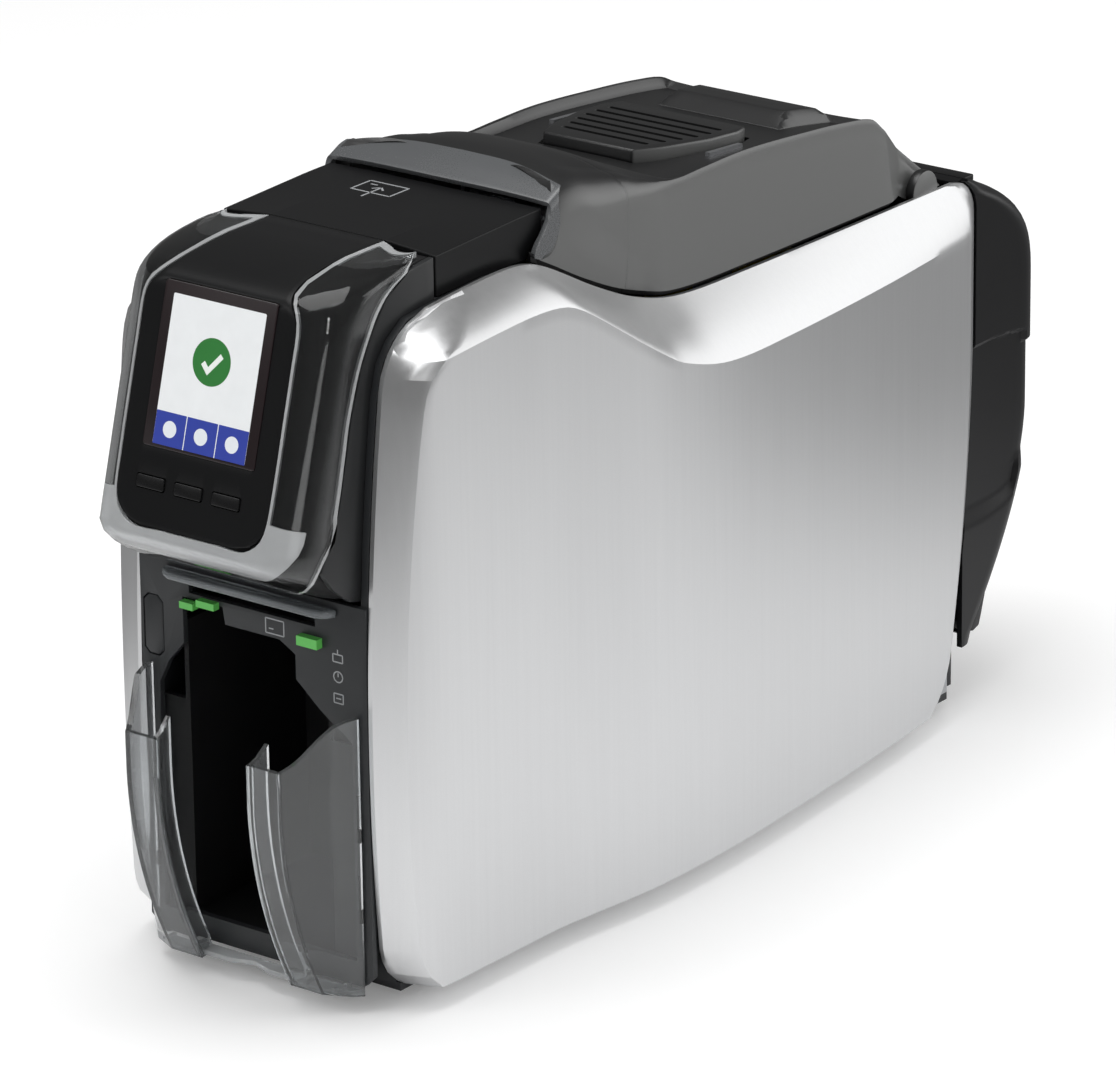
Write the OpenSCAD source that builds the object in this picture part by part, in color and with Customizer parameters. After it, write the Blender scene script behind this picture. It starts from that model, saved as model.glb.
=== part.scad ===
// Desktop card printer with a hinged top cover, a hinged rear hood and a clear output hopper.
// Millimetres. X runs to the right, Y to the rear and Z up from the table.
// The origin is at the middle of the base outline, on the table.
// Heights and depths below are taken from the flat front face, which front_face() puts in place.

/* [Overall] */
// Half width of the silver side panels at their widest
half_width = 75.5; // [74:0.5:78]
// How far the display housing stands out in front of the front face
head_reach = 35; // [32:1:36]
// Distance from the front face to the back of the rear hood
hood_rear = 409; // [404:1:412]
// Gap between the table and the base tray, filled by the feet
foot_h = 4; // [3:0.5:5]
// Height of the card's lower face as it runs through the machine
path_z = 141; // [140:0.5:142]
// Gap between the side panels and what they cover
panel_gap = 0.3; // [0.2:0.1:0.4]

/* [Side panels] */
// Wall of a side panel
panel_wall = 2; // [1.5:0.1:2.5]
// How far the side panels bulge out past their rims
side_bulge = 23.3; // [21:0.1:25]
// Height of the lower edge of the side panels
panel_bottom = 5; // [4:0.5:7]
// Distance from the front face to the rear edge of the side panels
panel_rear = 362; // [358:1:362]
// Depth of the band along the top edge at the front end
band_front = 12; // [10:1:14]
// Depth of the band along the top edge behind the valley
band_rear = 20; // [16:1:22]

/* [Chassis] */
// Thickness of the steel side plates
plate_t = 1.7; // [1.2:0.1:2]
// Thickness of the base tray floor
tray_t = 3; // [2:0.5:4]
// Radius of the shafts
shaft_r = 3; // [2.5:0.5:4]
// Running clearance of a shaft in its bush
run_gap = 0.05; // [0.02:0.01:0.09]
// Wall of a bush
bush_wall = 1.5; // [1:0.25:2]

/* [Front face] */
// Thickness of the front bezel
bezel_t = 2.5; // [2:0.5:4]
// Gap between the front bezel and the rims of the side panels
bezel_gap = 0.2; // [0.2:0.1:0.5]
// Height of the seam between the bezel and the display housing
seam_z = 150; // [149:1:152]
// Half width of the card slot
slot_x = 28; // [27.5:0.5:30]
// Height of the card slot
slot_h = 5.2; // [5:0.1:6]

/* [Display housing] */
// Lean of the display face from upright, in degrees
face_tilt = 15.8; // [14:0.2:17]
// Height of the middle of the screen
face_z = 228; // [226:1:229]
// Half width of the flat face
face_x = 33; // [32:0.5:34]
// Width of the dark cheeks between the housing and the side panels
cheek_w = 3.5; // [3:0.1:4]
// Height of the top of the housing
head_top = 264.5; // [263:0.5:266]
// Wall of the clear shell
shell_wall = 2; // [1.5:0.1:2.5]
// Size of the screen, width
screen_w = 40.4; // [38:0.2:42]
// Size of the screen, height
screen_h = 51.6; // [50:0.2:53]
// Spacing of the three buttons
button_pitch = 16.5; // [16:0.25:17]
// Width of a button
button_w = 12; // [10:0.5:13]
// Height of a button
button_h = 4.4; // [4:0.2:5]
// Travel of a button
button_travel = 0.8; // [0.5:0.1:1]

/* [Output hopper] */
// How far the hopper stands out in front of the front face
hopper_reach = 30; // [26:1:32]
// Half width of the hopper at its front wall
hopper_front_x = 34; // [33:0.5:35]
// Distance of the hopper's arms from the edges of the bezel
hopper_inset = 3; // [2:0.5:4]
// Half width of the finger gap in the front wall
finger_gap = 20; // [18:0.5:22]
// Height of the front corner of the hopper arms
hopper_top = 96; // [92:1:100]
// Height of the underside of the hopper
hopper_low = 7; // [6:0.5:8.5]
// Height of the lower edge of the front bezel
bezel_low = 10; // [9.5:0.5:11]
// Wall of the clear hopper
hopper_wall = 2; // [1.6:0.1:2.4]

/* [Top cover] */
// Wall of the cover
cover_wall = 2.4; // [2:0.1:2.8]
// Distance of the cover's lower edge from the outer face of the panel rims
cover_inset = 1.2; // [0.6:0.1:1.6]
// Seam between the cover and the side panels
cover_seam = 1; // [0.8:0.1:1.5]
// Front end of the cover's collar
collar_y = 105; // [104:0.5:107]
// Where the collar meets the cover
cover_y = 150; // [148:1:152]
// Rear end of the cover
cover_rear = 348; // [344:1:349]
// Distance of the cover's hinge axis from the front face
hinge_y = 332; // [330:1:334]
// Height of the cover's hinge axis
hinge_z = 212; // [210:1:213]
// Radius of the hinge pins
hinge_r = 2.5; // [2:0.25:3]

/* [Card and ribbon drive] */
// Radius of the feed rollers
roller_r = 9; // [8:0.5:9.5]
// Half length of the roller sleeves
roller_x = 30; // [28:0.5:31]
// Radius of the pinch rollers
pinch_r = 5; // [4:0.5:6]
// Thickness of a card
card_t = 0.8; // [0.7:0.05:0.9]
// Distance of the front feed roller from the front face
exit_y = 120; // [118:1:122]
// Distance of the platen roller from the front face
platen_y = 226; // [224:1:228]
// Distance of the rear feed roller from the front face
entry_y = 300; // [298:1:302]
// Distance of the pick roller from the front face
pick_y = 340; // [338:1:341]
// Distance of the cleaning roller from the front face
cleaning_y = 268; // [266:1:270]
// Radius of the cleaning roller
cleaning_r = 6; // [5:0.5:6.5]
// Radius of the belt pulleys
pulley_r = 7; // [6:0.5:7.5]
// Tooth size of the gears, as the pitch diameter over the number of teeth
gear_module = 0.8; // [0.8]
// Teeth of the gear on the platen shaft
platen_teeth = 60; // [60]
// Teeth of the pinion on the feed motor
pinion_teeth = 18; // [18]
// Teeth of the take-up gear
takeup_teeth = 70; // [70]
// Teeth of the pinion on the ribbon motor
ribbon_teeth = 14; // [14]
// Width of the gears
gear_w = 5; // [4:0.5:6]
// Distance of the take-up spool from the front face
takeup_y = 164; // [162:1:166]
// Height of the take-up spool
takeup_z = 176; // [174:1:178]
// Distance of the supply spool from the front face
supply_y = 286; // [284:1:287]
// Height of the supply spool
supply_z = 180; // [178:1:182]
// Radius of the ribbon roll on the supply spool
supply_r = 16; // [12:0.5:17]
// Radius of the ribbon roll on the take-up spool
takeup_r = 12; // [10:0.5:16]

/* [Rear] */
// Wall of the rear hood
hood_wall = 2.4; // [2:0.1:3]
// How far the rear hood stands out past the panel rims on each side
hood_proud = 0.8; // [0.4:0.1:1.4]
// Distance of the hood's hinge axis from the front face
hood_hinge_y = 364; // [363:0.5:366]
// Height of the hood's hinge axis
hood_hinge_z = 33; // [31:1:35]
// Distance of the rear bulkhead from the front face
bulkhead_y = 350; // [349:0.5:351]
// Thickness of the rear bulkhead
bulkhead_t = 2.5; // [2:0.5:3]
// Inner length of the card stack
stack_l = 88; // [87:0.5:90]
// Inner half width of the card stack
stack_x = 28; // [27.5:0.5:29]
// Height of the card stack walls above the card path
stack_h = 50; // [46:1:52]

/* [Hidden] */
$fn = 48;
middle_y = (hood_rear - head_reach) / 2;
rim_out = half_width - side_bulge;
rim_in = rim_out - panel_wall;
plate_x = rim_in - panel_gap;
bezel_x = rim_in - bezel_gap;
head_x = bezel_x - cheek_w;
hopper_back_x = bezel_x - hopper_inset;
cover_x = rim_out - cover_inset;
hood_x = rim_out + hood_proud;
face_slope = tan(face_tilt);
chin_rise = 22;
chin = seam_z + chin_rise;
face_y = head_reach - (face_z - chin) * face_slope;
eps = 0.01;

// ---- shared shapes ----

module front_face() translate([0, -middle_y, 0]) children();
module along_x(y, z) translate([0, y, z]) rotate([0, 90, 0]) children();
module rod_x(y, z, x0, x1, r) along_x(y, z) translate([0, 0, x0]) cylinder(h = x1 - x0, r = r);
module box(lo, hi) translate(lo) cube(hi - lo);
module mirror_copy() {
    children();
    mirror([1, 0, 0]) children();
}
module side_plate(x0, x1, outline) translate([x0, 0, 0]) rotate([90, 0, 90]) linear_extrude(x1 - x0)
    polygon(outline);
module screen_frame() translate([0, -face_y, face_z]) rotate([-face_tilt, 0, 0]) children();

function lerp(a, b, u) = a + (b - a) * u;
function unit(u) = max(0, min(1, u));
// How far a round corner of radius r sets an edge back at a distance d from its end.
function corner(d, r) = d >= r ? 0 : r - sqrt(max(0, r * r - pow(r - max(0, d), 2)));
// A smooth curve through [place, value] pairs.
function steep(p, k) =
    let (a = max(0, k - 1), b = min(len(p) - 1, k + 1))
    (p[b][1] - p[a][1]) / (p[b][0] - p[a][0]);
function span_of(p, v) = max([0, for (k = [0:len(p) - 2]) if (v >= p[k][0]) k]);
function curve(p, v) =
    let (k = span_of(p, v), h = p[k + 1][0] - p[k][0], u = unit((v - p[k][0]) / h))
    let (m0 = steep(p, k) * h, m1 = steep(p, k + 1) * h)
    (2 * u * u * u - 3 * u * u + 1) * p[k][1] + (u * u * u - 2 * u * u + u) * m0
    + (3 * u * u - 2 * u * u * u) * p[k + 1][1] + (u * u * u - u * u) * m1;

// A closed shell between two surfaces. face_at(s, t, d) gives the point of the surface that lies a wall
// depth d inside the outer one; seen from outside, s runs to the right and t up.
module shell(ss, ts, wall, face_at) {
    ns = len(ss);
    nt = len(ts);
    half = ns * nt;
    pts = [for (d = [0, wall]) for (s = ss) for (t = ts) face_at(s, t, d)];
    function at(i, j, k) = k * half + i * nt + j;
    function quad(a, b, c, d) = [[a, b, c], [a, c, d]];
    faces = [
        for (i = [0:ns - 2]) for (j = [0:nt - 2])
            for (f = quad(at(i, j, 0), at(i, j + 1, 0), at(i + 1, j + 1, 0), at(i + 1, j, 0))) f,
        for (i = [0:ns - 2]) for (j = [0:nt - 2])
            for (f = quad(at(i, j, 1), at(i + 1, j, 1), at(i + 1, j + 1, 1), at(i, j + 1, 1))) f,
        for (i = [0:ns - 2]) for (f = quad(at(i, 0, 0), at(i + 1, 0, 0), at(i + 1, 0, 1), at(i, 0, 1))) f,
        for (i = [0:ns - 2]) for (f = quad(at(i, nt - 1, 0), at(i, nt - 1, 1), at(i + 1, nt - 1, 1),
            at(i + 1, nt - 1, 0))) f,
        for (j = [0:nt - 2]) for (f = quad(at(0, j, 0), at(0, j, 1), at(0, j + 1, 1), at(0, j + 1, 0))) f,
        for (j = [0:nt - 2]) for (f = quad(at(ns - 1, j, 0), at(ns - 1, j + 1, 0), at(ns - 1, j + 1, 1),
            at(ns - 1, j, 1))) f];
    polyhedron(pts, faces, convexity = 6);
}

// A solid through a stack of closed outlines with the same number of points each.
module loft(rings) {
    n = len(rings[0]);
    m = len(rings);
    faces = concat([[for (i = [0:n - 1]) i]], [[for (i = [n - 1:-1:0]) (m - 1) * n + i]],
        [for (k = [0:m - 2]) for (i = [0:n - 1]) let (j = (i + 1) % n)
            for (f = [[k * n + i, (k + 1) * n + i, (k + 1) * n + j], [k * n + i, (k + 1) * n + j, k * n + j]]) f]);
    polyhedron([for (r = rings) for (p = r) p], faces, convexity = 6);
}

// A spur gear with straight-sided teeth. Its pitch circle is module * teeth / 2.
module gear(teeth, w, bore, turn = 0) {
    pitch = gear_module * teeth / 2;
    root = pitch - 1.15 * gear_module;
    tip = pitch + 0.9 * gear_module;
    step = 360 / teeth;
    flanks = [[root, 0.29], [pitch, 0.235], [tip, 0.12]];
    linear_extrude(w) difference() {
        polygon([for (k = [0:teeth - 1]) each concat(
            [for (f = flanks) f[0] * [cos(turn + step * (k - f[1])), sin(turn + step * (k - f[1]))]],
            [for (i = [2:-1:0]) let (f = flanks[i])
                f[0] * [cos(turn + step * (k + f[1])), sin(turn + step * (k + f[1]))]])]);
        circle(bore);
    }
}

// ---- side panels ----

rim_line = [[20, 247.5], [62, 250.3], [84, 250], [97, 246.5], [128, 230.5], [151, 220.5], [175, 214.6],
    [215, 212.8], [350, 211.2]];
plan_line = [[0, 62], [14, 66.5], [45, 68], [80, 69], [100, 71.3], [126, 74.6], [150, 75.5], [180, 75.1],
    [215, 73], [250, 70.3], [290, 66.5], [335, 61], [362, 58]];
widest = max([for (p = plan_line) p[1]]);
front_corner = 22;
foot_corner = 20;
rear_corner = 14;
tail_corner = 24;
front_band = 7;
rear_band = 12;
foot_band = 4;
bow_mid = 98;
tail_mid = 155;
function rim_z(y) = curve(rim_line, y);
function panel_front(z) = -1 + 6.7 * pow((z - bow_mid) / 108, 2) + corner(z - panel_bottom, foot_corner)
    + corner(rim_line[0][1] - z, front_corner);
function panel_back(z) = panel_rear - 11.6 * pow(max(0, tail_mid - z) / 113, 2)
    - corner(z - panel_bottom, tail_corner) - corner(rim_line[8][1] - z, rear_corner);
function band(y) = lerp(band_front, band_rear, unit((y - 90) / 55));
function bevel(q) = 1 - 0.55 * unit(q) - 0.45 * sin(90 * unit(q));
function panel_x(y, z) =
    let (e = [bevel((rim_z(y) - z) / band(y)), bevel((y - panel_front(z)) / front_band),
        bevel((panel_back(z) - y) / rear_band), bevel((z - panel_bottom) / foot_band)])
    lerp(rim_out, half_width - widest + curve(plan_line, y), unit(1 - norm(e)));
function panel_point(s, t, d) =
    let (z0 = lerp(panel_bottom, rim_z(lerp(0, panel_rear, s)), t))
    let (y = lerp(panel_front(z0), panel_back(z0), s), z = lerp(panel_bottom, rim_z(y), t))
    [panel_x(y, z) - d, y, z];
panel_s = [0, 0.005, 0.011, 0.018, 0.04, 0.09, 0.14, 0.19, 0.23, 0.26, 0.29, 0.32, 0.35, 0.38, 0.41, 0.45,
    0.5, 0.57, 0.64, 0.71, 0.78, 0.85, 0.91, 0.945, 0.965, 0.985, 1];
panel_t = [0, 0.006, 0.013, 0.02, 0.15, 0.35, 0.55, 0.72, 0.83, 0.89, 0.915, 0.935, 0.955, 0.98, 1];
module side_panel() color([0.75, 0.76, 0.77]) shell(panel_s, panel_t, panel_wall,
    function(s, t, d) panel_point(s, t, d));
module side_panel_right() side_panel();
module side_panel_left() mirror([1, 0, 0]) side_panel();

// ---- base and chassis ----

tray_front = 14;
tray_rear = bulkhead_y - panel_gap;
tray_x = plate_x - plate_t - panel_gap;
tray_top = foot_h + tray_t;
tray_lip = 9;
module base_tray() color([0.06, 0.06, 0.065]) {
    difference() {
        box([-plate_x, tray_front, foot_h], [plate_x, tray_rear, tray_top + tray_lip]);
        box([-tray_x + 3, tray_front + 3, tray_top], [tray_x - 3, tray_rear - 3, tray_top + tray_lip + eps]);
        mirror_copy() box([tray_x, tray_front - eps, tray_top], [plate_x + eps, tray_rear + eps,
            tray_top + tray_lip + eps]);
    }
    // standoffs under the main board
    for (x = [-board_x + 5, board_x - 5]) for (y = [board_y0 + 5, board_y1 - 5])
        translate([x, y, tray_top - eps]) cylinder(h = board_z - tray_top + eps, r = 3);
}

foot_r = 8;
foot_places = [for (x = [-34, 34]) for (y = [30, 330]) [x, y]];
module rubber_feet() color([0.03, 0.03, 0.03])
    for (p = foot_places) translate([p[0], p[1], 0]) cylinder(h = foot_h, r = foot_r);

plate_low = tray_top;
bush_r = shaft_r + run_gap + bush_wall;
roller_z = path_z - roller_r;
pinch_z = path_z + card_t + pinch_r;
cleaning_z = path_z + card_t + cleaning_r;
shaft_places = [[exit_y, roller_z], [platen_y, roller_z], [entry_y, roller_z], [pick_y, roller_z],
    [exit_y, pinch_z], [entry_y, pinch_z], [cleaning_y, cleaning_z]];
plate_gap = 0.4;
cheek_back = 15.6;
// Lower edge of a dark cheek beside the display housing, from its rear end to the front
cheek_low = [[collar_y - 2, 238], [96, 237], [34, 240], [21, 236], [cheek_back, 204], [cheek_back, seam_z - 4]];
plate_outline = concat([[16, plate_low], [tray_rear, plate_low], [tray_rear, 194], [hinge_y + 6, 203],
    [hinge_y + 5, hinge_z + 3], [hinge_y, hinge_z + 5.5], [hinge_y - 5, hinge_z + 3], [hinge_y - 8, 205],
    [172, 205], [132, 216]], [for (p = cheek_low) p + [plate_gap, -plate_gap]]);
window = 36;
window_places = [[98, 32], [98, 72], [178, 34], [284, 42], [42, 146], [42, 186]];
module chassis_plate() difference() {
    side_plate(plate_x - plate_t, plate_x, plate_outline);
    for (p = shaft_places) rod_x(p[0], p[1], plate_x - plate_t - 1, plate_x + 1, bush_r);
    rod_x(hinge_y, hinge_z, plate_x - plate_t - 1, plate_x + 1, hinge_r);
    // windows that lighten the plate
    for (p = window_places) box([plate_x - plate_t - 1, p[0], p[1]], [plate_x + 1, p[0] + window, p[1] + window]);
}
module chassis_right() color([0.62, 0.63, 0.65]) chassis_plate();
module chassis_left() color([0.62, 0.63, 0.65]) difference() {
    mirror([1, 0, 0]) chassis_plate();
    rod_x(motor_y, motor_z, -plate_x - 1, -plate_x + plate_t + 1, motor_boss_r + panel_gap);
    rod_x(ribbon_y, ribbon_z, -plate_x - 1, -plate_x + plate_t + 1, motor_boss_r + panel_gap);
    rod_x(takeup_y, takeup_z, -plate_x - 1, -plate_x + plate_t + 1, takeup_hub_r + run_gap);
}

tie_r = 3;
keeper_y = 140;
keeper_z = 206;
tie_places = [[80, 22], [keeper_y, keeper_z], [205, 20], [300, 22], [90, 116]];
module tie_bars() color([0.7, 0.71, 0.73]) for (p = tie_places)
    rod_x(p[0], p[1], -plate_x + plate_t, plate_x - plate_t, tie_r);

module bushes() color([0.72, 0.55, 0.3]) mirror_copy() for (p = shaft_places) difference() {
    union() {
        rod_x(p[0], p[1], plate_x - plate_t - 0.8, plate_x, bush_r);
        rod_x(p[0], p[1], plate_x - plate_t - 1.4, plate_x - plate_t, bush_r + 1);
    }
    rod_x(p[0], p[1], plate_x - plate_t - 2, plate_x + 1, shaft_r + run_gap);
}

// ---- front ----

bezel_back = bezel_t - 1;
slot_z0 = path_z - 1.8;
slot_z1 = slot_z0 + slot_h;
cavity_x = bezel_x - 7.5;
cavity_low = bezel_low + 9;
bezel_hole = [[-cavity_x, cavity_low], [cavity_x, cavity_low], [cavity_x, 100], [29.4, 109], [19, 118],
    [19, 127], [12, 131], [-12, 131], [-13, slot_z0 - 2], [-31, slot_z0 - 2], [-31, 120], [-38, 112],
    [-cavity_x, 103]];
power_x = 5.6 - bezel_x;
power_z = 124;
power_w = 8.4;
power_h = 22;
press_gap = 0.35;
return_t = 1.5;
cheek_outline = concat([for (z = [seam_z - 4, seam_z, 168, 189, 206, 222, 234, 241]) [panel_front(z) + panel_gap, z]],
    [for (y = [26, 44, 70, collar_y - 12, collar_y - 2]) [y, rim_z(y) - 1.5]], cheek_low);
module octagon_bar(w, h, t) rotate([90, 0, 0]) linear_extrude(t)
    polygon([for (m = [[1, 1], [-1, 1], [-1, -1], [1, -1]]) let (a = [w / 2 * m[0], (h / 2 - w / 4) * m[1]],
        b = [w / 4 * m[0], h / 2 * m[1]]) each (m[0] * m[1] > 0 ? [a, b] : [b, a])]);
module front_bezel() color([0.09, 0.095, 0.1]) {
    difference() {
        translate([0, bezel_back, 0]) rotate([90, 0, 0]) linear_extrude(bezel_t) difference() {
            polygon([[-bezel_x, bezel_low + 4], [-bezel_x + 4, bezel_low], [bezel_x - 4, bezel_low],
                [bezel_x, bezel_low + 4], [bezel_x, seam_z], [-bezel_x, seam_z]]);
            polygon(bezel_hole);
        }
        box([-slot_x, -2, slot_z0], [slot_x, bezel_t, slot_z1]);
        translate([power_x, bezel_t, power_z]) octagon_bar(power_w + 2 * press_gap, power_h + 2 * press_gap, 5);
        for (m = hook_heights) mirror_copy() box([hook_x - hook_w - press_gap, -2, m - press_gap],
            [hook_x + press_gap, bezel_t, m + hook_h + hopper_lift + press_gap]);
    }
    // side returns that carry the bezel on the chassis plates
    mirror_copy() side_plate(plate_x - plate_t - return_t, plate_x - plate_t, [[bezel_back - 0.5, 20],
        [34, 28], [34, 106], [bezel_back - 0.5, 106]]);
    // dark cheeks between the display housing and the side panels
    mirror_copy() side_plate(head_x + panel_gap, bezel_x - bezel_gap, cheek_outline);
}

well_x = 31;
well_back = 66;
well_t = 2;
module hopper_well() color([0.04, 0.04, 0.045]) difference() {
    union() {
        box([-well_x - well_t, bezel_back, cavity_low - well_t], [well_x + well_t, well_back, 128]);
        box([-cavity_x - 1, bezel_back, cavity_low - well_t], [cavity_x + 1, bezel_back + well_t, 98]);
    }
    box([-well_x, -1, cavity_low], [well_x, well_back - well_t, 129]);
    // the chute from the card path down into the well
    box([-slot_x - 1, 30, 110], [slot_x + 1, well_back + 1, 129]);
}

lip_reach = 7;
lip_x = 38;
module slot_lip() color([0.45, 0.47, 0.5, 0.6]) translate([0, 0, slot_z1 + panel_gap]) linear_extrude(3.2)
    polygon([[-lip_x, -1], [-lip_x + 6, -lip_reach], [lip_x - 6, -lip_reach], [lip_x, -1]]);

guide_t = 3;
module light_guides() color([0.25, 0.8, 0.3]) {
    box([-30, -1 - guide_t, slot_z0 - 5], [-24, -1, slot_z0 - 2.5]);
    box([-22.5, -1 - guide_t, slot_z0 - 3], [-14.5, -1, slot_z0 - 0.5]);
    box([22, -1 - guide_t, slot_z0 - 7], [31, -1, slot_z0 - 3.5]);
}

power_flange = 1.8;
power_proud = 0.1;
module power_button() color([0.12, 0.125, 0.13]) translate([power_x, bezel_back + 0.3 + power_flange, power_z]) {
    octagon_bar(power_w, power_h, 0.3 + power_flange + bezel_t + power_proud);
    octagon_bar(power_w + 2, power_h + 2, power_flange);
}

// ---- display housing ----

brow_run = 31;
brow = head_top - 20.5;
mid_brow = head_top - 14.5;
head_back = 45;
function face_front(z) = -face_y + (z - face_z) * face_slope;
// How far the face has bent back at a height, where the bend starts at z0
function bent(z, z0, power) = brow_run * pow(unit((z - z0) / (head_top - z0)), power);
function head_front(z) = z < chin ? lerp(face_front(chin), -2, pow((chin - z) / chin_rise, 1.6))
    : face_front(z) + bent(z, mid_brow, 5.3);
cheek_d = 17;
// One level of the housing: front face, round front corners and straight sides, d inside the outer skin.
function head_ring(z, d, back) =
    let (f = head_front(z), r = min(cheek_d, max(4, back - f - 6)), top = corner(head_top - z, 5))
    let (w = head_x - top - d, e = [w - face_x + 1.5, r], g = bent(z, brow, 4.5) - bent(z, mid_brow, 5.3))
    let (side = [for (a = [0:15:90]) [face_x - 1.5 + e[0] * sin(a), f + d + g * sin(a) + r - r * cos(a), z]])
    concat([for (p = side) p], [[w, back, z], [-w, back, z]], [for (k = [6:-1:0]) [-side[k][0], side[k][1], z]]);
head_levels = concat([for (u = [0.014, 0.14, 0.32, 0.5, 0.68, 0.86, 1]) seam_z + u * chin_rise],
    [chin + 8, 200, 225, brow], [for (u = [0.3, 0.45, 0.57, 0.68, 0.78, 0.87, 0.94, 1]) lerp(brow, head_top, u)]);
shell_depth = 19;
shell_brow_x = 25;
shell_brow_y = 42;
module clear_zone(grow = 0) {
    // the clear shell covers the chin and both front corners, and runs back over the brow
    mirror_copy() screen_frame() box([face_x, -40, -100], [80, shell_depth + grow, 60]);
    mirror_copy() box([shell_brow_x, -30, brow], [80, shell_brow_y + grow, head_top + 5]);
    box([-80, -60, seam_z - 5], [80, -4 + grow, chin + 2]);
}
module head_housing() color([0.035, 0.035, 0.04]) difference() {
    loft([for (z = head_levels) head_ring(z, 0, head_back)]);
    intersection() {
        difference() {
            loft([for (z = head_levels) head_ring(z, -1, head_back + 1)]);
            loft([for (z = head_levels) head_ring(z, shell_wall + panel_gap, head_back + 2)]);
        }
        clear_zone(panel_gap);
    }
    // room for the boards, open to the rear
    box([-head_x + 6, 2, seam_z + 8], [head_x - 6, head_back + 1, head_top - 4]);
    screen_frame() {
        box([-glass_w / 2 - 0.2, -5, -glass_low - 0.2], [glass_w / 2 + 0.2, glass_t, glass_high + 0.2]);
        box([-glass_w / 2 + 1, -5, -glass_low + 1], [glass_w / 2 - 1, 14, glass_high - 1]);
        box([-glass_w / 2 + 1, face_wall, -board_drop - 1], [glass_w / 2 - 1, face_wall + 21, glass_high - 1]);
        for (x = button_places) box([x - button_w / 2 - press_gap, -5, button_row - button_h / 2 - press_gap],
            [x + button_w / 2 + press_gap, 14, button_row + button_h / 2 + press_gap]);
    }
}
module head_clear_shell() color([0.75, 0.8, 0.85, 0.4]) intersection() {
    difference() {
        loft([for (z = head_levels) head_ring(z, 0, head_back)]);
        loft([for (z = head_levels) head_ring(z, shell_wall, head_back + 1)]);
    }
    clear_zone();
}

face_wall = 5;
board_drop = 46;
display_board_y = 12;
display_board_t = 1.5;
lcd_t = 2.4;
glass_w = 49;
glass_t = 1.2;
glass_low = 27;
glass_high = 30;
module display_glass() color([0.02, 0.01, 0.015]) screen_frame()
    box([-glass_w / 2, 0, -glass_low], [glass_w / 2, glass_t, glass_high]);
module lcd_panel() color([0.9, 0.92, 0.95]) screen_frame()
    box([-screen_w / 2, glass_t, -screen_h / 2], [screen_w / 2, glass_t + lcd_t, screen_h / 2]);
module display_board() color([0.1, 0.32, 0.16]) screen_frame() {
    box([-glass_w / 2 + 1.5, display_board_y, -board_drop], [glass_w / 2 - 1.5,
        display_board_y + display_board_t, glass_high - 1.5]);
    box([-15, glass_t + lcd_t, -15], [15, display_board_y, 15]);
    for (x = button_places) box([x - 2.5, button_depth + button_travel + 0.1, button_row - 1.6], [x + 2.5,
        display_board_y, button_row + 1.6]);
}

button_mid = -2;
button_row = -39.3;
button_depth = 6;
button_places = [for (k = [-1:1]) button_mid + k * button_pitch];
module button(k) color([0.05, 0.05, 0.055]) screen_frame()
    box([button_places[k] - button_w / 2, -0.4, button_row - button_h / 2],
        [button_places[k] + button_w / 2, button_depth, button_row + button_h / 2]);
module button_left() button(0);
module button_center() button(1);
module button_right() button(2);

panel_low = head_top - 16.5;
module top_panel() color([0.05, 0.05, 0.055]) translate([0, collar_y - panel_gap, 0]) rotate([90, 0, 0])
    linear_extrude(collar_y - head_back - 2 * panel_gap) polygon([[-head_x, panel_low], [-head_x, head_top - 5],
        [-head_x + 3, head_top - 1.4], [-head_x + 7, head_top], [head_x - 7, head_top],
        [head_x - 3, head_top - 1.4], [head_x, head_top - 5], [head_x, panel_low], [head_x - 3, panel_low],
        [head_x - 3, head_top - 6], [head_x - 8, head_top - 3], [-head_x + 8, head_top - 3],
        [-head_x + 3, head_top - 6], [-head_x + 3, panel_low]]);

// ---- output hopper ----

hopper_round = 85;
hook_heights = [34, 64];
hook_h = 5;
hook_w = 2;
hook_x = hopper_back_x - 0.8;
hopper_lift = 12;
arm_rise = 14;
// The front wall leans back towards the round bottom.
hopper_sweep = 20.5;
hopper_back = bezel_back - bezel_t - panel_gap;
function hopper_front(z) = -hopper_reach
    + hopper_sweep * pow(unit((hopper_round - z) / (hopper_round - hopper_low)), 2);
function arm_top(y) = hopper_top + arm_rise * unit((y + hopper_reach) / (hopper_reach - 4));
module hopper_arm() {
    // plan of one arm: return lip, front wall, splayed side with a fold
    function arm(u, z, d) =
        let (f = hopper_front(z), back = hopper_back, lip = min(11, back - f - 1))
        let (pts = [[finger_gap + 1 + d, f + lip], [finger_gap + d, f + d], [hopper_front_x - d, f + d],
            [hopper_back_x - 3 - d, lerp(f, back, 0.62)], [hopper_back_x - d, back]])
        [pts[u][0], pts[u][1], z];
    heights = [0, 0.03, 0.08, 0.15, 0.25, 0.38, 0.55, 1];
    shell([0, 1, 2, 3, 4], heights, hopper_wall, function(s, t, d)
        let (z = hopper_low + t * (arm_top(arm(s, hopper_top, 0)[1]) - hopper_low))
        arm(s, z, d));
}
floor_inset = 0.3;
module hopper_floor() translate([0, 0, hopper_low + floor_inset]) linear_extrude(hopper_wall)
    let (f = hopper_front(hopper_low) + floor_inset, b = hopper_back - floor_inset, x = hopper_back_x - floor_inset)
    polygon([[-x, b], [x, b], [x - 3, lerp(f, b, 0.62)], [hopper_front_x - floor_inset, f],
        [finger_gap + floor_inset, f], [0, b - hopper_wall], [-finger_gap - floor_inset, f],
        [-hopper_front_x + floor_inset, f], [3 - x, lerp(f, b, 0.62)]]);
module output_hopper() color([0.8, 0.83, 0.86, 0.35]) {
    mirror_copy() hopper_arm();
    hopper_floor();
    // hooks that drop into the bezel
    for (m = hook_heights) mirror_copy() box([hook_x - hook_w, -2, m], [hook_x, bezel_back - 0.1, m + hook_h]);
}

// ---- top cover ----

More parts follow.
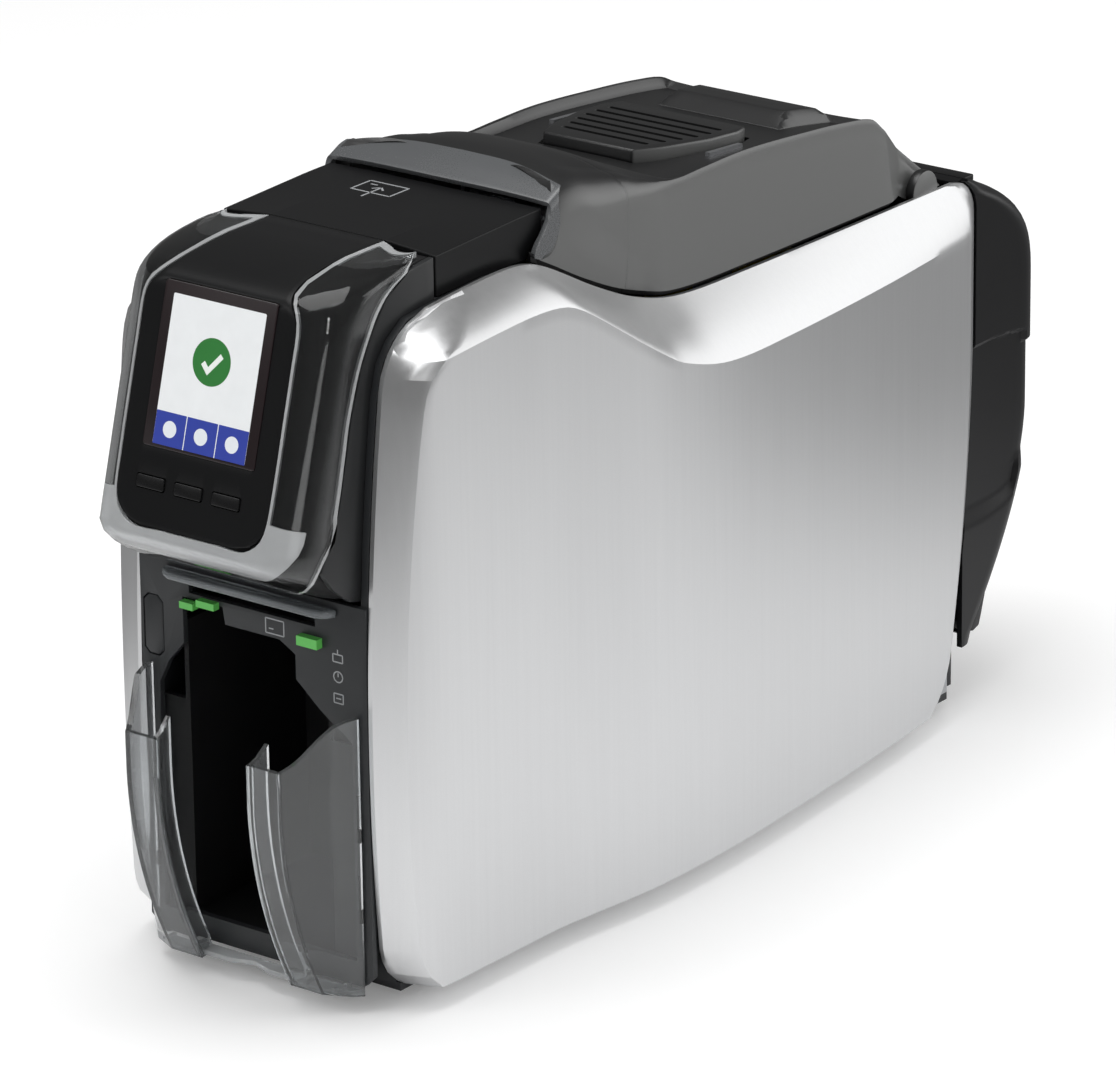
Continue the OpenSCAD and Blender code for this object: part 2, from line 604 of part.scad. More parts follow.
crown_line = [[105, 267], [115, 271.5], [128, 273.5], [140, 272.5], [150, 270], [161, 265.5], [174, 261.5],
    [192, 258.5], [215, 257], [240, 255], [262, 252.8], [285, 250], [300, 247.3], [309, 242.3], [326, 229],
    [348, 212.5]];
shoulder = 7;
tail_x = plate_x - plate_t - 2;
function crown(y) = curve(crown_line, y);
function cover_half(y) = lerp(cover_x, tail_x, unit((y - hinge_y + 14) / 8));
function cover_base(y) = lerp(rim_z(y) + cover_seam, hinge_z - 3, unit((y - hinge_y + 14) / 8));
function cover_point(s, t, d, y0, y1) =
    let (y = lerp(y0, y1, s), a = 180 * (1 - t), w = cover_half(y) - d, b = cover_base(y))
    let (h = max(1, crown(y) - d - b), c = cos(a), n = 2 / shoulder)
    [w * sign(c) * pow(abs(c), n), y, b + h * pow(sin(a), n)];
cover_t = [0, 0.02, 0.06, 0.11, 0.16, 0.2, 0.24, 0.28, 0.34, 0.42, 0.5, 0.58, 0.66, 0.72, 0.76, 0.8, 0.84, 0.89,
    0.94, 0.98, 1];
module cover_skin(y0, y1, n, wall) shell([for (k = [n:-1:0]) k / n], cover_t, wall,
    function(s, t, d) cover_point(s, t, d, y0, y1));
module cover_collar() color([0.11, 0.115, 0.12]) cover_skin(collar_y, cover_y, 9, cover_wall);

pad_y0 = 192;
pad_y1 = 250;
pad_front_x = 20;
pad_back_x = 30;
pad_rise = 2;
pad_tilt = atan((crown(pad_y0) - crown(pad_y1)) / (pad_y1 - pad_y0));
module on_cover(z) translate([0, pad_y0, crown(pad_y0) + z]) rotate([-pad_tilt, 0, 0]) children();
module pad_shape(grow, h) linear_extrude(h) polygon([[-pad_front_x - grow, -grow], [pad_front_x + grow, -grow],
    [pad_back_x + grow, 34], [pad_back_x - 2 + grow, pad_y1 - pad_y0 + grow],
    [-pad_back_x + 2 - grow, pad_y1 - pad_y0 + grow], [-pad_back_x - grow, 34]]);
module top_cover() color([0.07, 0.072, 0.078]) difference() {
    union() {
        cover_skin(cover_y + eps, cover_rear, 22, cover_wall);
        // ears on the hinge pins
        mirror_copy() hull() {
            rod_x(hinge_y, hinge_z, tail_x - 5, tail_x - eps, 5);
            rod_x(hinge_y - 18, hinge_z + 16, tail_x - 4, tail_x - 1, 3);
        }
    }
    on_cover(-8) pad_shape(press_gap, 20);
    mirror_copy() rod_x(hinge_y, hinge_z, tail_x - 6, tail_x + 4, hinge_r + run_gap);
}
cap_y0 = 271;
cap_y1 = 293;
cap_t = 2.2;
cap_gap = 0.02;
module cover_rear_cap() color([0.06, 0.062, 0.066]) shell([for (k = [5:-1:0]) k / 5],
    [for (k = [0:8]) lerp(0.35, 0.65, k / 8)], cap_t,
    function(s, t, d) cover_point(s, t, d - cap_t - cap_gap, cap_y0, cap_y1));
latch_y = 152;
latch_z = 244;
latch_arm = 9.5;
claw_gap = 0.6;
pad_sink = 6;
tongue_y = latch_y - latch_arm + 1;
module cover_release_pad() color([0.1, 0.1, 0.105]) {
    on_cover(-pad_sink) pad_shape(0, pad_sink + pad_rise);
    on_cover(pad_rise - eps) for (k = [0:5]) translate([-pad_front_x + 3 - k, 12 + 7 * k, 0])
        cube([2 * (pad_front_x - 3 + k), 3.4, 0.9]);
    // tongue that reaches forward, with a foot on the arm of the latch hook
    on_cover(-pad_sink - 2.5 + eps) translate([-5, tongue_y - pad_y0 - 2, 0]) cube([10, pad_y0 + 12 - tongue_y, 2.5]);
    box([-5, tongue_y - 2, latch_z + 6 + claw_gap / 2], [5, tongue_y + 2, crown(pad_y0) - pad_sink + 3]);
}

claw_front = keeper_y + tie_r + claw_gap;
claw_top = keeper_z - tie_r;
module latch_hook() color([0.75, 0.76, 0.78]) difference() {
    union() {
        rod_x(latch_y, latch_z, -20, 20, 4);
        for (x = [-18, 12]) side_plate(x, x + 6, [[latch_y - 3, latch_z], [claw_front + 3, claw_top + 8],
            [claw_front + 2.6, claw_top + 2], [claw_front, claw_top], [claw_front, claw_top - 3],
            [claw_front + 5, claw_top - 5], [claw_front + 7, claw_top + 3], [latch_y + 3, latch_z]]);
        side_plate(-5, 5, [[latch_y, latch_z - 3.9], [latch_y - latch_arm, latch_z + 3],
            [latch_y - latch_arm, latch_z + 6], [latch_y, latch_z + 3.9]]);
    }
    rod_x(latch_y, latch_z, -21, 21, 2 + run_gap);
}
module hinge_pins() color([0.8, 0.81, 0.83]) {
    mirror_copy() rod_x(hinge_y, hinge_z, tail_x - 5, plate_x + 0.2, hinge_r - eps);
}

bracket_y0 = platen_y - 9;
bracket_y1 = platen_y + 11;
head_z = path_z + card_t + 0.6;
head_bar_x = 31;
module print_head_bracket() color([0.68, 0.69, 0.72]) {
    difference() {
        box([-head_bar_x - 1, bracket_y0, head_z + 26], [head_bar_x + 1, bracket_y1, head_z + 29]);
        box([-10, bracket_y0 + 6, head_z + 25], [10, bracket_y1 - 6, head_z + 30]);
    }
    mirror_copy() box([head_bar_x - 3, bracket_y0, head_z + 29 - eps], [head_bar_x, bracket_y1,
        crown(bracket_y1) - 13]);
    // struts up to the roof of the cover, clear of the release pad
    mirror_copy() box([head_bar_x - 3, bracket_y0, crown(bracket_y1) - 13 - eps], [head_bar_x + 5, bracket_y1,
        crown(bracket_y1) - 10]);
    mirror_copy() side_plate(head_bar_x + 3, head_bar_x + 5, [[bracket_y0, crown(bracket_y1) - 11],
        [bracket_y1, crown(bracket_y1) - 11], [bracket_y1, crown(bracket_y1) - cover_wall - 0.9],
        [bracket_y0, crown(bracket_y0) - cover_wall - 0.9]]);
    // latch pivot posts
    mirror_copy() side_plate(21, 23, [[latch_y - 5, latch_z - 4], [latch_y + 5, latch_z - 4],
        [bracket_y0 + 2, latch_z - 7], [bracket_y0 + 2, latch_z - 2], [latch_y + 4, latch_z + 4.5],
        [latch_y - 4, latch_z + 4.5]]);
    mirror_copy() box([21, bracket_y0 - 1, latch_z - 7], [head_bar_x, bracket_y0 + 2, latch_z - 2]);
    rod_x(latch_y, latch_z, -23, 23, 2);
}
module print_head() color([0.1, 0.1, 0.11]) {
    side_plate(-head_bar_x + 1, head_bar_x - 1, [[platen_y - 1.5, head_z], [platen_y + 1.5, head_z],
        [bracket_y1 - 3, head_z + 8], [bracket_y1 - 3, head_z + 14], [bracket_y0 + 3, head_z + 14],
        [bracket_y0 + 3, head_z + 6]]);
    for (k = [0:8]) translate([-head_bar_x + 2 + k * 7, bracket_y0 + 3, head_z + 14 - eps])
        cube([2, bracket_y1 - bracket_y0 - 6, 12 + eps]);
}

// ---- ribbon ----

frame_x = 35.5;
frame_t = 2.5;
takeup_hub_r = 5;
spool_flange = 19;
module ribbon_frame() color([0.2, 0.22, 0.26]) {
    mirror_copy() difference() {
        side_plate(frame_x, frame_x + frame_t, [[takeup_y - 12, takeup_z + 9], [takeup_y - 12, takeup_z - 9],
            [takeup_y, takeup_z - 13], [platen_y - 20, takeup_z - 24], [platen_y + 22, takeup_z - 24],
            [supply_y, supply_z - 13], [supply_y + 12, supply_z - 9], [supply_y + 12, supply_z + 9],
            [supply_y, supply_z + 13], [supply_y - 12, supply_z + 9], [platen_y + 24, takeup_z - 10],
            [platen_y - 22, takeup_z - 10], [takeup_y + 12, takeup_z + 9], [takeup_y, takeup_z + 13]]);
        rod_x(takeup_y, takeup_z, frame_x - 1, frame_x + frame_t + 1, takeup_hub_r + run_gap);
        rod_x(supply_y, supply_z, frame_x - 1, frame_x + frame_t + 1, takeup_hub_r + run_gap);
    }
    // cross bars that also guide the film
    for (y = [platen_y - 17, platen_y + 19]) rod_x(y, takeup_z - 20, -frame_x - eps, frame_x + eps, 2);
    // ledges on which the frame sits in the chassis
    mirror_copy() for (y = [platen_y - 12, platen_y + 10]) box([frame_x + frame_t - eps, y, takeup_z - 19],
        [plate_x - plate_t, y + 5, takeup_z - 15]);
}
module spool(y, z, r) {
    rod_x(y, z, -frame_x + 1, frame_x - 1, r);
    mirror_copy() rod_x(y, z, frame_x - 3, frame_x - 1.5, spool_flange);
    rod_x(y, z, -frame_x - 6, frame_x + 6, takeup_hub_r);
}
module ribbon_supply_spool() color([0.85, 0.78, 0.2]) spool(supply_y, supply_z, supply_r);
module ribbon_takeup_spool() color([0.16, 0.14, 0.3]) {
    spool(takeup_y, takeup_z, takeup_r);
    rod_x(takeup_y, takeup_z, -plate_x - gear_w - 1, -frame_x - 5, takeup_hub_r);
    along_x(takeup_y, takeup_z) translate([0, 0, -plate_x - gear_w - 1]) gear(takeup_teeth, gear_w, 3);
}
film_t = 0.4;
film_x = 29;
film_low = head_z - 0.15 - film_t;
module ribbon_film() color([0.1, 0.12, 0.35]) side_plate(-film_x, film_x, [
    [takeup_y + 2, takeup_z - takeup_r - 0.6], [platen_y - 17, takeup_z - 20 - 2.6], [platen_y - 3, film_low],
    [platen_y + 3, film_low], [platen_y + 19, takeup_z - 20 - 2.6], [supply_y - 2, supply_z - supply_r - 0.6],
    [supply_y - 2, supply_z - supply_r - 0.2], [platen_y + 19, takeup_z - 20 - 2.2],
    [platen_y + 3, film_low + film_t], [platen_y - 3, film_low + film_t], [platen_y - 17, takeup_z - 20 - 2.2],
    [takeup_y + 2, takeup_z - takeup_r - 0.2]]);

// ---- card feed ----

pulley_x = plate_x + gear_w + 2;
pulley_w = 5;
inner_pulley_x = plate_x + 0.8;
module feed_shaft(y, r) {
    rod_x(y, roller_z, -pulley_x - pulley_w - 0.2, plate_x + 0.2, shaft_r);
    rod_x(y, roller_z, -roller_x, roller_x, r);
    rod_x(y, roller_z, -pulley_x - pulley_w, -pulley_x, pulley_r);
}
module free_shaft(y, z, r) {
    rod_x(y, z, -plate_x - 0.2, plate_x + 0.2, shaft_r);
    rod_x(y, z, -roller_x, roller_x, r);
}
module platen_roller() color([0.12, 0.12, 0.12]) {
    feed_shaft(platen_y, roller_r);
    along_x(platen_y, roller_z) translate([0, 0, -plate_x - gear_w - 1]) gear(platen_teeth, gear_w, 2);
}
module exit_roller() color([0.3, 0.3, 0.31]) feed_shaft(exit_y, roller_r);
module inner_pulley(y) rod_x(y, roller_z, -inner_pulley_x - pulley_w, -inner_pulley_x, pulley_r);
module entry_roller() color([0.3, 0.3, 0.31]) {
    feed_shaft(entry_y, roller_r);
    inner_pulley(entry_y);
}
module pick_roller() color([0.25, 0.25, 0.26]) {
    rod_x(pick_y, roller_z, -inner_pulley_x - pulley_w - 0.2, plate_x + 0.2, shaft_r);
    for (x = [-16, 8]) rod_x(pick_y, roller_z, x, x + 8, roller_r);
    inner_pulley(pick_y);
}
module exit_pinch_roller() color([0.78, 0.79, 0.8]) free_shaft(exit_y, pinch_z, pinch_r);
module entry_pinch_roller() color([0.78, 0.79, 0.8]) free_shaft(entry_y, pinch_z, pinch_r);
module cleaning_roller() color([0.2, 0.45, 0.75]) free_shaft(cleaning_y, cleaning_z, cleaning_r);

belt_t = 1.2;
belt_in = pulley_r + 0.08;
belt_w = pulley_w - 1;
module belt_body(y0, y1, r, grow) translate([0, 0, -grow]) {
    for (y = [y0, y1]) translate([y, roller_z]) cylinder(h = belt_w + 2 * grow, r = r);
    translate([y0, roller_z - r]) cube([y1 - y0, 2 * r, belt_w + 2 * grow]);
}
module belt(y0, y1, x) translate([-x - pulley_w + 0.5, 0, 0]) rotate([90, 0, 90]) difference() {
    belt_body(y0, y1, belt_in + belt_t, 0);
    belt_body(y0, y1, belt_in, 1);
}
module drive_belts() color([0.05, 0.05, 0.05]) {
    belt(exit_y, entry_y, pulley_x);
    belt(entry_y, pick_y, inner_pulley_x);
}

rail_x = 27.6;
module card_rails() color([0.1, 0.1, 0.11]) mirror_copy() {
    for (span = [[exit_y + 12, platen_y - 12], [platen_y + 12, entry_y - 12]]) difference() {
        box([rail_x - 3, span[0], path_z - 3], [plate_x - plate_t, span[1], path_z + 3]);
        box([rail_x - 4, span[0] - 1, path_z - 0.4], [rail_x, span[1] + 1, path_z + card_t + 0.4]);
        box([rail_x - 4, span[0] - 1, path_z], [rail_x, span[1] + 1, path_z + 4]);
        rod_x(cleaning_y, cleaning_z, rail_x - 4, plate_x, max(cleaning_r, bush_r + 1) + 0.5);
    }
}

motor_r = 17;
motor_boss_r = 5;
motor_gap = gear_module * (platen_teeth + pinion_teeth) / 2;
motor_angle = 45;
motor_y = platen_y + motor_gap * cos(motor_angle);
motor_z = roller_z - motor_gap * sin(motor_angle);
ribbon_gap = gear_module * (takeup_teeth + ribbon_teeth) / 2;
ribbon_angle = 162;
ribbon_y = takeup_y + ribbon_gap * cos(ribbon_angle);
ribbon_z = takeup_z + ribbon_gap * sin(ribbon_angle);
ribbon_motor_r = 11;
pin_r = 1.5;
module motor(y, z, r, l) difference() {
    union() {
        rod_x(y, z, -plate_x + plate_t, -plate_x + plate_t + l, r);
        rod_x(y, z, -plate_x + 0.4, -plate_x + plate_t + eps, motor_boss_r);
        rod_x(y, z, -plate_x + plate_t + l - eps, -plate_x + plate_t + l + 3, motor_boss_r);
    }
    rod_x(y, z, -plate_x - 1, -plate_x + plate_t + 8, pin_r + run_gap);
}
module feed_motor() color([0.3, 0.31, 0.33]) motor(motor_y, motor_z, motor_r, 34);
module ribbon_motor() color([0.55, 0.56, 0.58]) motor(ribbon_y, ribbon_z, ribbon_motor_r, 24);
// Turn of a pinion at a direction from its wheel, so that its teeth fall between the wheel's.
function mesh_turn(direction, wheel_teeth, teeth) = let (a = direction + 90)
    a + 180 + (a * wheel_teeth - 180) / teeth;
module pinion(y, z, teeth, turn) {
    along_x(y, z) translate([0, 0, -plate_x - gear_w - 1]) gear(teeth, gear_w, pin_r - eps, turn);
    rod_x(y, z, -plate_x - gear_w - 1.5, -plate_x + plate_t + 6, pin_r);
}
module motor_pinion() color([0.85, 0.75, 0.45]) pinion(motor_y, motor_z, pinion_teeth,
    mesh_turn(-motor_angle, platen_teeth, pinion_teeth));
module ribbon_pinion() color([0.85, 0.75, 0.45]) pinion(ribbon_y, ribbon_z, ribbon_teeth,
    mesh_turn(ribbon_angle, takeup_teeth, ribbon_teeth));

// ---- rear ----

stack_y0 = 317;
stack_y1 = stack_y0 + stack_l;
well_wall = 2.5;
stack_top = path_z + stack_h;
slide_y = 372;
slide_w = 6;
weight_rise = 38;
module input_well() color([0.12, 0.12, 0.13]) difference() {
    side_plate(-stack_x - well_wall, stack_x + well_wall, [[stack_y0 - well_wall, path_z - 6],
        [stack_y1 - 3, path_z - 6], [stack_y1 - 3, stack_top - 19], [stack_y1 - 21, stack_top],
        [stack_y0 - well_wall, stack_top]]);
    box([-stack_x, stack_y0, path_z - 0.5], [stack_x, stack_y1, stack_top + 1]);
    // the gate lets one card at a time out at the front
    box([-stack_x, stack_y0 - 4, path_z - 0.5], [stack_x, stack_y0 + 1, path_z + 1.6]);
    // the pick roller shows through the floor
    box([-18, pick_y - roller_r - 1.5, path_z - 8], [18, pick_y + roller_r + 1.5, path_z]);
    // the lower front corners clear the pick shaft
    rod_x(pick_y, roller_z, -stack_x - 4, stack_x + 4, shaft_r + 1);
    // slots for the tabs of the card weight
    mirror_copy() box([stack_x - 1, slide_y - slide_w / 2 - press_gap, path_z + 0.3], [stack_x + 4,
        slide_y + slide_w / 2 + press_gap, path_z + weight_rise + 8]);
    // finger notch in the front wall
    box([-12, stack_y0 - 4, path_z + 22], [12, stack_y0 + 1, stack_top + 1]);
}
module card_weight() color([0.22, 0.23, 0.25]) {
    box([-stack_x + 0.6, 328, path_z + 1], [stack_x - 0.6, 388, path_z + 4.5]);
    box([-stack_x - well_wall + 0.3, slide_y - slide_w / 2, path_z + 1], [stack_x + well_wall - 0.3,
        slide_y + slide_w / 2, path_z + 4.5]);
    box([-8, 350, path_z + 4.5 - eps], [8, 366, path_z + 9]);
}

bulkhead_top = path_z - 6;
port_z = 52;
fan_y = bulkhead_y - 11;
fan_z = 98;
fan_half = 20;
hood_lug_x = hood_x - 13.5;
module rear_bulkhead() color([0.08, 0.08, 0.085]) {
    difference() {
        box([-plate_x, bulkhead_y, panel_bottom + 4], [plate_x, bulkhead_y + bulkhead_t, bulkhead_top]);
        translate([-30, bulkhead_y - 1, port_z]) rotate([-90, 0, 0]) cylinder(h = 8, r = inlet_r + 0.3);
        box([usb_x - 6.3, bulkhead_y - 1, port_z - 5.8], [usb_x + 6.3, bulkhead_y + 8, port_z + 5.8]);
        box([net_x - 8.3, bulkhead_y - 1, port_z - 7.3], [net_x + 8.3, bulkhead_y + 8, port_z + 7.3]);
        for (k = [-3:3]) box([-fan_half + 3, bulkhead_y - 1, fan_z + 5 * k - 1.2], [fan_half - 3, bulkhead_y + 8,
            fan_z + 5 * k + 1.2]);
    }
    // brackets under the card stack
    mirror_copy() side_plate(stack_x - 3, stack_x, [[bulkhead_y + bulkhead_t - eps, bulkhead_top],
        [bulkhead_y + bulkhead_t - eps, bulkhead_top - 30], [396, bulkhead_top - 4], [396, bulkhead_top]]);
    // ears for the hood's hinge pins
    mirror_copy() difference() {
        side_plate(hood_lug_x, hood_lug_x + 4, [[bulkhead_y + bulkhead_t - eps, hood_hinge_z - 5],
            [hood_hinge_y + 2, hood_hinge_z - 4], [hood_hinge_y + 4, hood_hinge_z],
            [hood_hinge_y + 2, hood_hinge_z + 4], [bulkhead_y + bulkhead_t - eps, hood_hinge_z + 10]]);
        rod_x(hood_hinge_y, hood_hinge_z, hood_lug_x - 1, hood_lug_x + 5, hinge_r);
    }
}

hood_low = 24;
hood_top = 210;
hood_round = 13;
function hood_back(z) = hood_rear - 50 * pow(unit((z - 160) / 50), 3) - 44 * pow(unit((110 - z) / 88), 1.7);
function hood_edge(z) = max(panel_back(z) + 0.8, 355);
// One level of the hood, from its right front edge round the back to its left front edge.
function hood_point(t, z, d) =
    let (b = hood_back(z) - d, f = hood_edge(z), w = hood_x - d, r = max(1, min(hood_round, b - f - 1)))
    let (a = unit((t - 0.2) / 0.2) * 90, m = t > 0.5)
    let (u = m ? 1 - t : t, q = unit((u - 0.2) / 0.2) * 90)
    let (x = u < 0.2 ? w : w - r + r * cos(q), y = u < 0.2 ? lerp(f, b - r, u / 0.2) : b - r + r * sin(q))
    let (k = u > 0.4 ? lerp(w - r, 0, (u - 0.4) / 0.1) : x)
    [m ? -k : k, y, z];
hood_t = [0, 0.2, 0.24, 0.28, 0.32, 0.36, 0.4, 0.5, 0.6, 0.64, 0.68, 0.72, 0.76, 0.8, 1];
hood_heights = [for (k = [0:18]) hood_low + (hood_top - hood_low) * sin(90 * k / 18)];
module hood_skin() shell([for (k = [0:len(hood_heights) - 1]) hood_heights[len(hood_heights) - 1 - k]],
    hood_t, hood_wall, function(s, t, d) hood_point(t, s, d));
module rear_hood() color([0.045, 0.046, 0.05]) difference() {
    union() {
        hood_skin();
        // roof of the hood
        box([-rim_in + 0.6, cover_rear + 3.5, hood_top - 3], [rim_in - 0.6, hood_back(hood_top - 3) - 1,
            hood_top - 0.3]);
        // arms down to the hinge pins
        mirror_copy() hull() {
            rod_x(hood_hinge_y, hood_hinge_z, hood_lug_x + 4.3, hood_x - 0.5, 4.5);
            rod_x(hood_hinge_y + 6, hood_hinge_z + 14, hood_lug_x + 6, hood_x - 0.5, 3);
        }
    }
    mirror_copy() rod_x(hood_hinge_y, hood_hinge_z, hood_lug_x + 2, hood_x - 2, hinge_r + run_gap);
}
module hood_pins() color([0.8, 0.81, 0.83]) mirror_copy()
    rod_x(hood_hinge_y, hood_hinge_z, hood_lug_x + 0.2, hood_x - 2.5, hinge_r - eps);

// ---- electronics ----

board_x = tray_x - 7.6;
board_y0 = 92;
board_y1 = 300;
board_z = 14;
board_t = 1.6;
module main_board() color([0.08, 0.3, 0.15]) {
    box([-board_x, board_y0, board_z], [board_x, board_y1, board_z + board_t]);
    for (c = [[-20, 150, 24, 24, 3], [12, 170, 16, 16, 2], [18, 240, 14, 20, 2.5], [-30, 215, 10, 34, 8],
        [24, 110, 12, 30, 9], [-34, 270, 18, 14, 7]])
        translate([c[0], c[1], board_z + board_t - eps]) cube([c[2], c[3], c[4]]);
    for (y = [112, 126, 140]) translate([-30, y, board_z + board_t - eps]) cylinder(h = 14, r = 5);
}
inlet_r = 5;
usb_x = -4;
net_x = 24;
module power_inlet() color([0.02, 0.02, 0.02]) translate([-30, bulkhead_y - 9, port_z]) rotate([-90, 0, 0])
    difference() {
        cylinder(h = 12, r = inlet_r);
        translate([0, 0, 2]) cylinder(h = 11, r = 3.2);
    }
module usb_port() color([0.75, 0.76, 0.78]) difference() {
    box([usb_x - 6, bulkhead_y - 12, port_z - 5.5], [usb_x + 6, bulkhead_y + 3, port_z + 5.5]);
    box([usb_x - 4.6, bulkhead_y - 9, port_z - 4.2], [usb_x + 4.6, bulkhead_y + 4, port_z + 4.2]);
}
module network_port() color([0.7, 0.71, 0.73]) difference() {
    box([net_x - 8, bulkhead_y - 14, port_z - 7], [net_x + 8, bulkhead_y + 3, port_z + 7]);
    box([net_x - 6, bulkhead_y - 10, port_z - 5], [net_x + 6, bulkhead_y + 4, port_z + 4]);
}
fan_d = 18;
module fan_frame() color([0.06, 0.06, 0.06]) difference() {
    union() {
        difference() {
            box([-fan_half, fan_y, fan_z - fan_half], [fan_half, bulkhead_y, fan_z + fan_half]);
            translate([0, fan_y - 1, fan_z]) rotate([-90, 0, 0]) cylinder(h = 13, r = fan_d + 0.5);
        }
        translate([-fan_d - 1, fan_y, fan_z - 1.5]) cube([2 * fan_d + 2, 1.6, 3]);
        translate([-1.5, fan_y, fan_z - fan_d - 1]) cube([3, 1.6, 2 * fan_d + 2]);
        translate([0, fan_y, fan_z]) rotate([-90, 0, 0]) cylinder(h = 1.6, r = 6);
    }
    translate([0, fan_y - 1, fan_z]) rotate([-90, 0, 0]) cylinder(h = 4, r = pin_r + run_gap);
}
module fan_rotor() color([0.1, 0.1, 0.1]) translate([0, fan_y, fan_z]) rotate([-90, 0, 0]) {
    translate([0, 0, 0.2]) cylinder(h = 3, r = pin_r);
    translate([0, 0, 2]) cylinder(h = 7, r = 7);
    for (k = [0:6]) rotate(k * 360 / 7) translate([6, 0, 5.5]) rotate([35, 0, 0]) translate([0, -0.6, -3])
        cube([fan_d - 6.5, 1.2, 6]);
}

screw_places = [for (m = [-1, 1]) for (p = [[30, 20], [60, 40], [100, 20], [240, 20], [330, 20], [330, 150]])
    [m, p[0], p[1]]];
module screws() color([0.8, 0.8, 0.82]) {
    for (s = screw_places) rod_x(s[1], s[2], s[0] > 0 ? plate_x : -plate_x - 1.8, s[0] > 0 ? plate_x + 1.8 : -plate_x,
        3);
    for (x = [5.9 - plate_x, plate_x - 5.9]) for (z = [70, 124]) translate([x, bulkhead_y + bulkhead_t, z])
        rotate([-90, 0, 0]) cylinder(h = 1.8, r = 3);
}

// ---- what is drawn ----

front_face() base_tray();
front_face() rubber_feet();
front_face() chassis_right();
front_face() chassis_left();
front_face() tie_bars();
front_face() side_panel_right();
front_face() side_panel_left();
front_face() front_bezel();
front_face() hopper_well();
front_face() head_housing();
front_face() head_clear_shell();
front_face() display_glass();
front_face() lcd_panel();
front_face() display_board();
front_face() top_panel();
front_face() slot_lip();
front_face() light_guides();
front_face() button_left();
front_face() button_center();
front_face() button_right();
front_face() power_button();
front_face() output_hopper();
front_face() top_cover();
front_face() cover_collar();
front_face() cover_rear_cap();
front_face() cover_release_pad();
front_face() latch_hook();
front_face() hinge_pins();
front_face() print_head_bracket();
front_face() print_head();
front_face() ribbon_frame();
front_face() ribbon_supply_spool();
front_face() ribbon_takeup_spool();
front_face() ribbon_film();
front_face() platen_roller();
front_face() exit_roller();
front_face() entry_roller();
front_face() pick_roller();
front_face() exit_pinch_roller();
front_face() entry_pinch_roller();
front_face() cleaning_roller();
front_face() bushes();
front_face() card_rails();
front_face() drive_belts();
front_face() feed_motor();
front_face() motor_pinion();
front_face() ribbon_motor();
front_face() ribbon_pinion();
front_face() input_well();
front_face() card_weight();
front_face() rear_bulkhead();
front_face() rear_hood();
front_face() hood_pins();
front_face() main_board();
front_face() power_inlet();
front_face() usb_port();
front_face() network_port();
front_face() fan_frame();
front_face() fan_rotor();
front_face() screws();
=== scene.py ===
# %% [markdown]
# # A desktop card printer
# The real object is a plastic and sheet-metal machine: two silver side panels, a tilted display
# housing with a clear shell, a hinged cover, a clear output hopper and a rear hood. The moving
# construction comes from the CAD frame; this file gives it its skins, small parts and finishes.

# %% Load the frame
import bpy
import math
from mathutils import Matrix, Vector


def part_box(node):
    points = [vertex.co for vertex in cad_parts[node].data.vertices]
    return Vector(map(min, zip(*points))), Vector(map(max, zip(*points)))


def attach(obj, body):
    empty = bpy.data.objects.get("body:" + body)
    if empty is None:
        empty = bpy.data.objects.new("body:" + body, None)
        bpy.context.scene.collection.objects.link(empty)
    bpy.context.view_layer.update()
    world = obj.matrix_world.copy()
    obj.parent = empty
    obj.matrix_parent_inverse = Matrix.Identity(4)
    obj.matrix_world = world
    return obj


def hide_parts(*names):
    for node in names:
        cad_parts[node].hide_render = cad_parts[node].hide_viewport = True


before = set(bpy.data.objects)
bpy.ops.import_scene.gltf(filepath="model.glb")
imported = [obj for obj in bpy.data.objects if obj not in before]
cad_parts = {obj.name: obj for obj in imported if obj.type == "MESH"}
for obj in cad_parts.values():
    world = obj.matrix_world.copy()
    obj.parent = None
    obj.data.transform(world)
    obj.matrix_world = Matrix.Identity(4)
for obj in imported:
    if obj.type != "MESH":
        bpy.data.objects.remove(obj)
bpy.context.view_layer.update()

# %% [markdown]
# Every size below is a millimetre measured from the flat front face of the machine, because that
# face is what a maker would measure from. One function turns such a place into the frame's metres.

# %% Places
MM = 0.001
BEZEL_PROUD = 1.0
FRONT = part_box("front_bezel")[0].y + BEZEL_PROUD * MM


def at(x, y, z):
    """A place in millimetres from the front face, as a point in the frame."""
    return Vector((x * MM, FRONT + y * MM, z * MM))


print("front face at y =", round(FRONT, 4))

# %% [markdown]
# The skins are smooth surfaces with a few driving curves, such as the height of the panel's rim
# along the machine. The same small functions as on a drawing board serve them all: a straight
# blend, a smooth curve through a few points, and the set-back of a round corner.

# %% Curves


def lerp(a, b, u):
    return a + (b - a) * u


def unit(u):
    return max(0.0, min(1.0, u))


def smooth(u):
    u = unit(u)
    return u * u * (3 - 2 * u)


def spread(a, b, n):
    """n + 1 values from a to b."""
    return [lerp(a, b, k / n) for k in range(n + 1)]


def steep(points, k):
    a, b = points[max(0, k - 1)], points[min(len(points) - 1, k + 1)]
    return (b[1] - a[1]) / (b[0] - a[0])


def curve(points, v):
    """A smooth curve through (place, value) pairs."""
    k = max([0] + [i for i in range(len(points) - 1) if v >= points[i][0]])
    h = points[k + 1][0] - points[k][0]
    u = unit((v - points[k][0]) / h)
    m0, m1 = steep(points, k) * h, steep(points, k + 1) * h
    a, b = points[k][1], points[k + 1][1]
    return ((2 * u**3 - 3 * u * u + 1) * a + (u**3 - 2 * u * u + u) * m0
            + (3 * u * u - 2 * u**3) * b + (u**3 - u * u) * m1)


def path(points, u):
    """A smooth line through points of any dimension, for u from 0 to 1."""
    n = len(points) - 1
    return [curve([(k / n, p[axis]) for k, p in enumerate(points)], u) for axis in range(len(points[0]))]


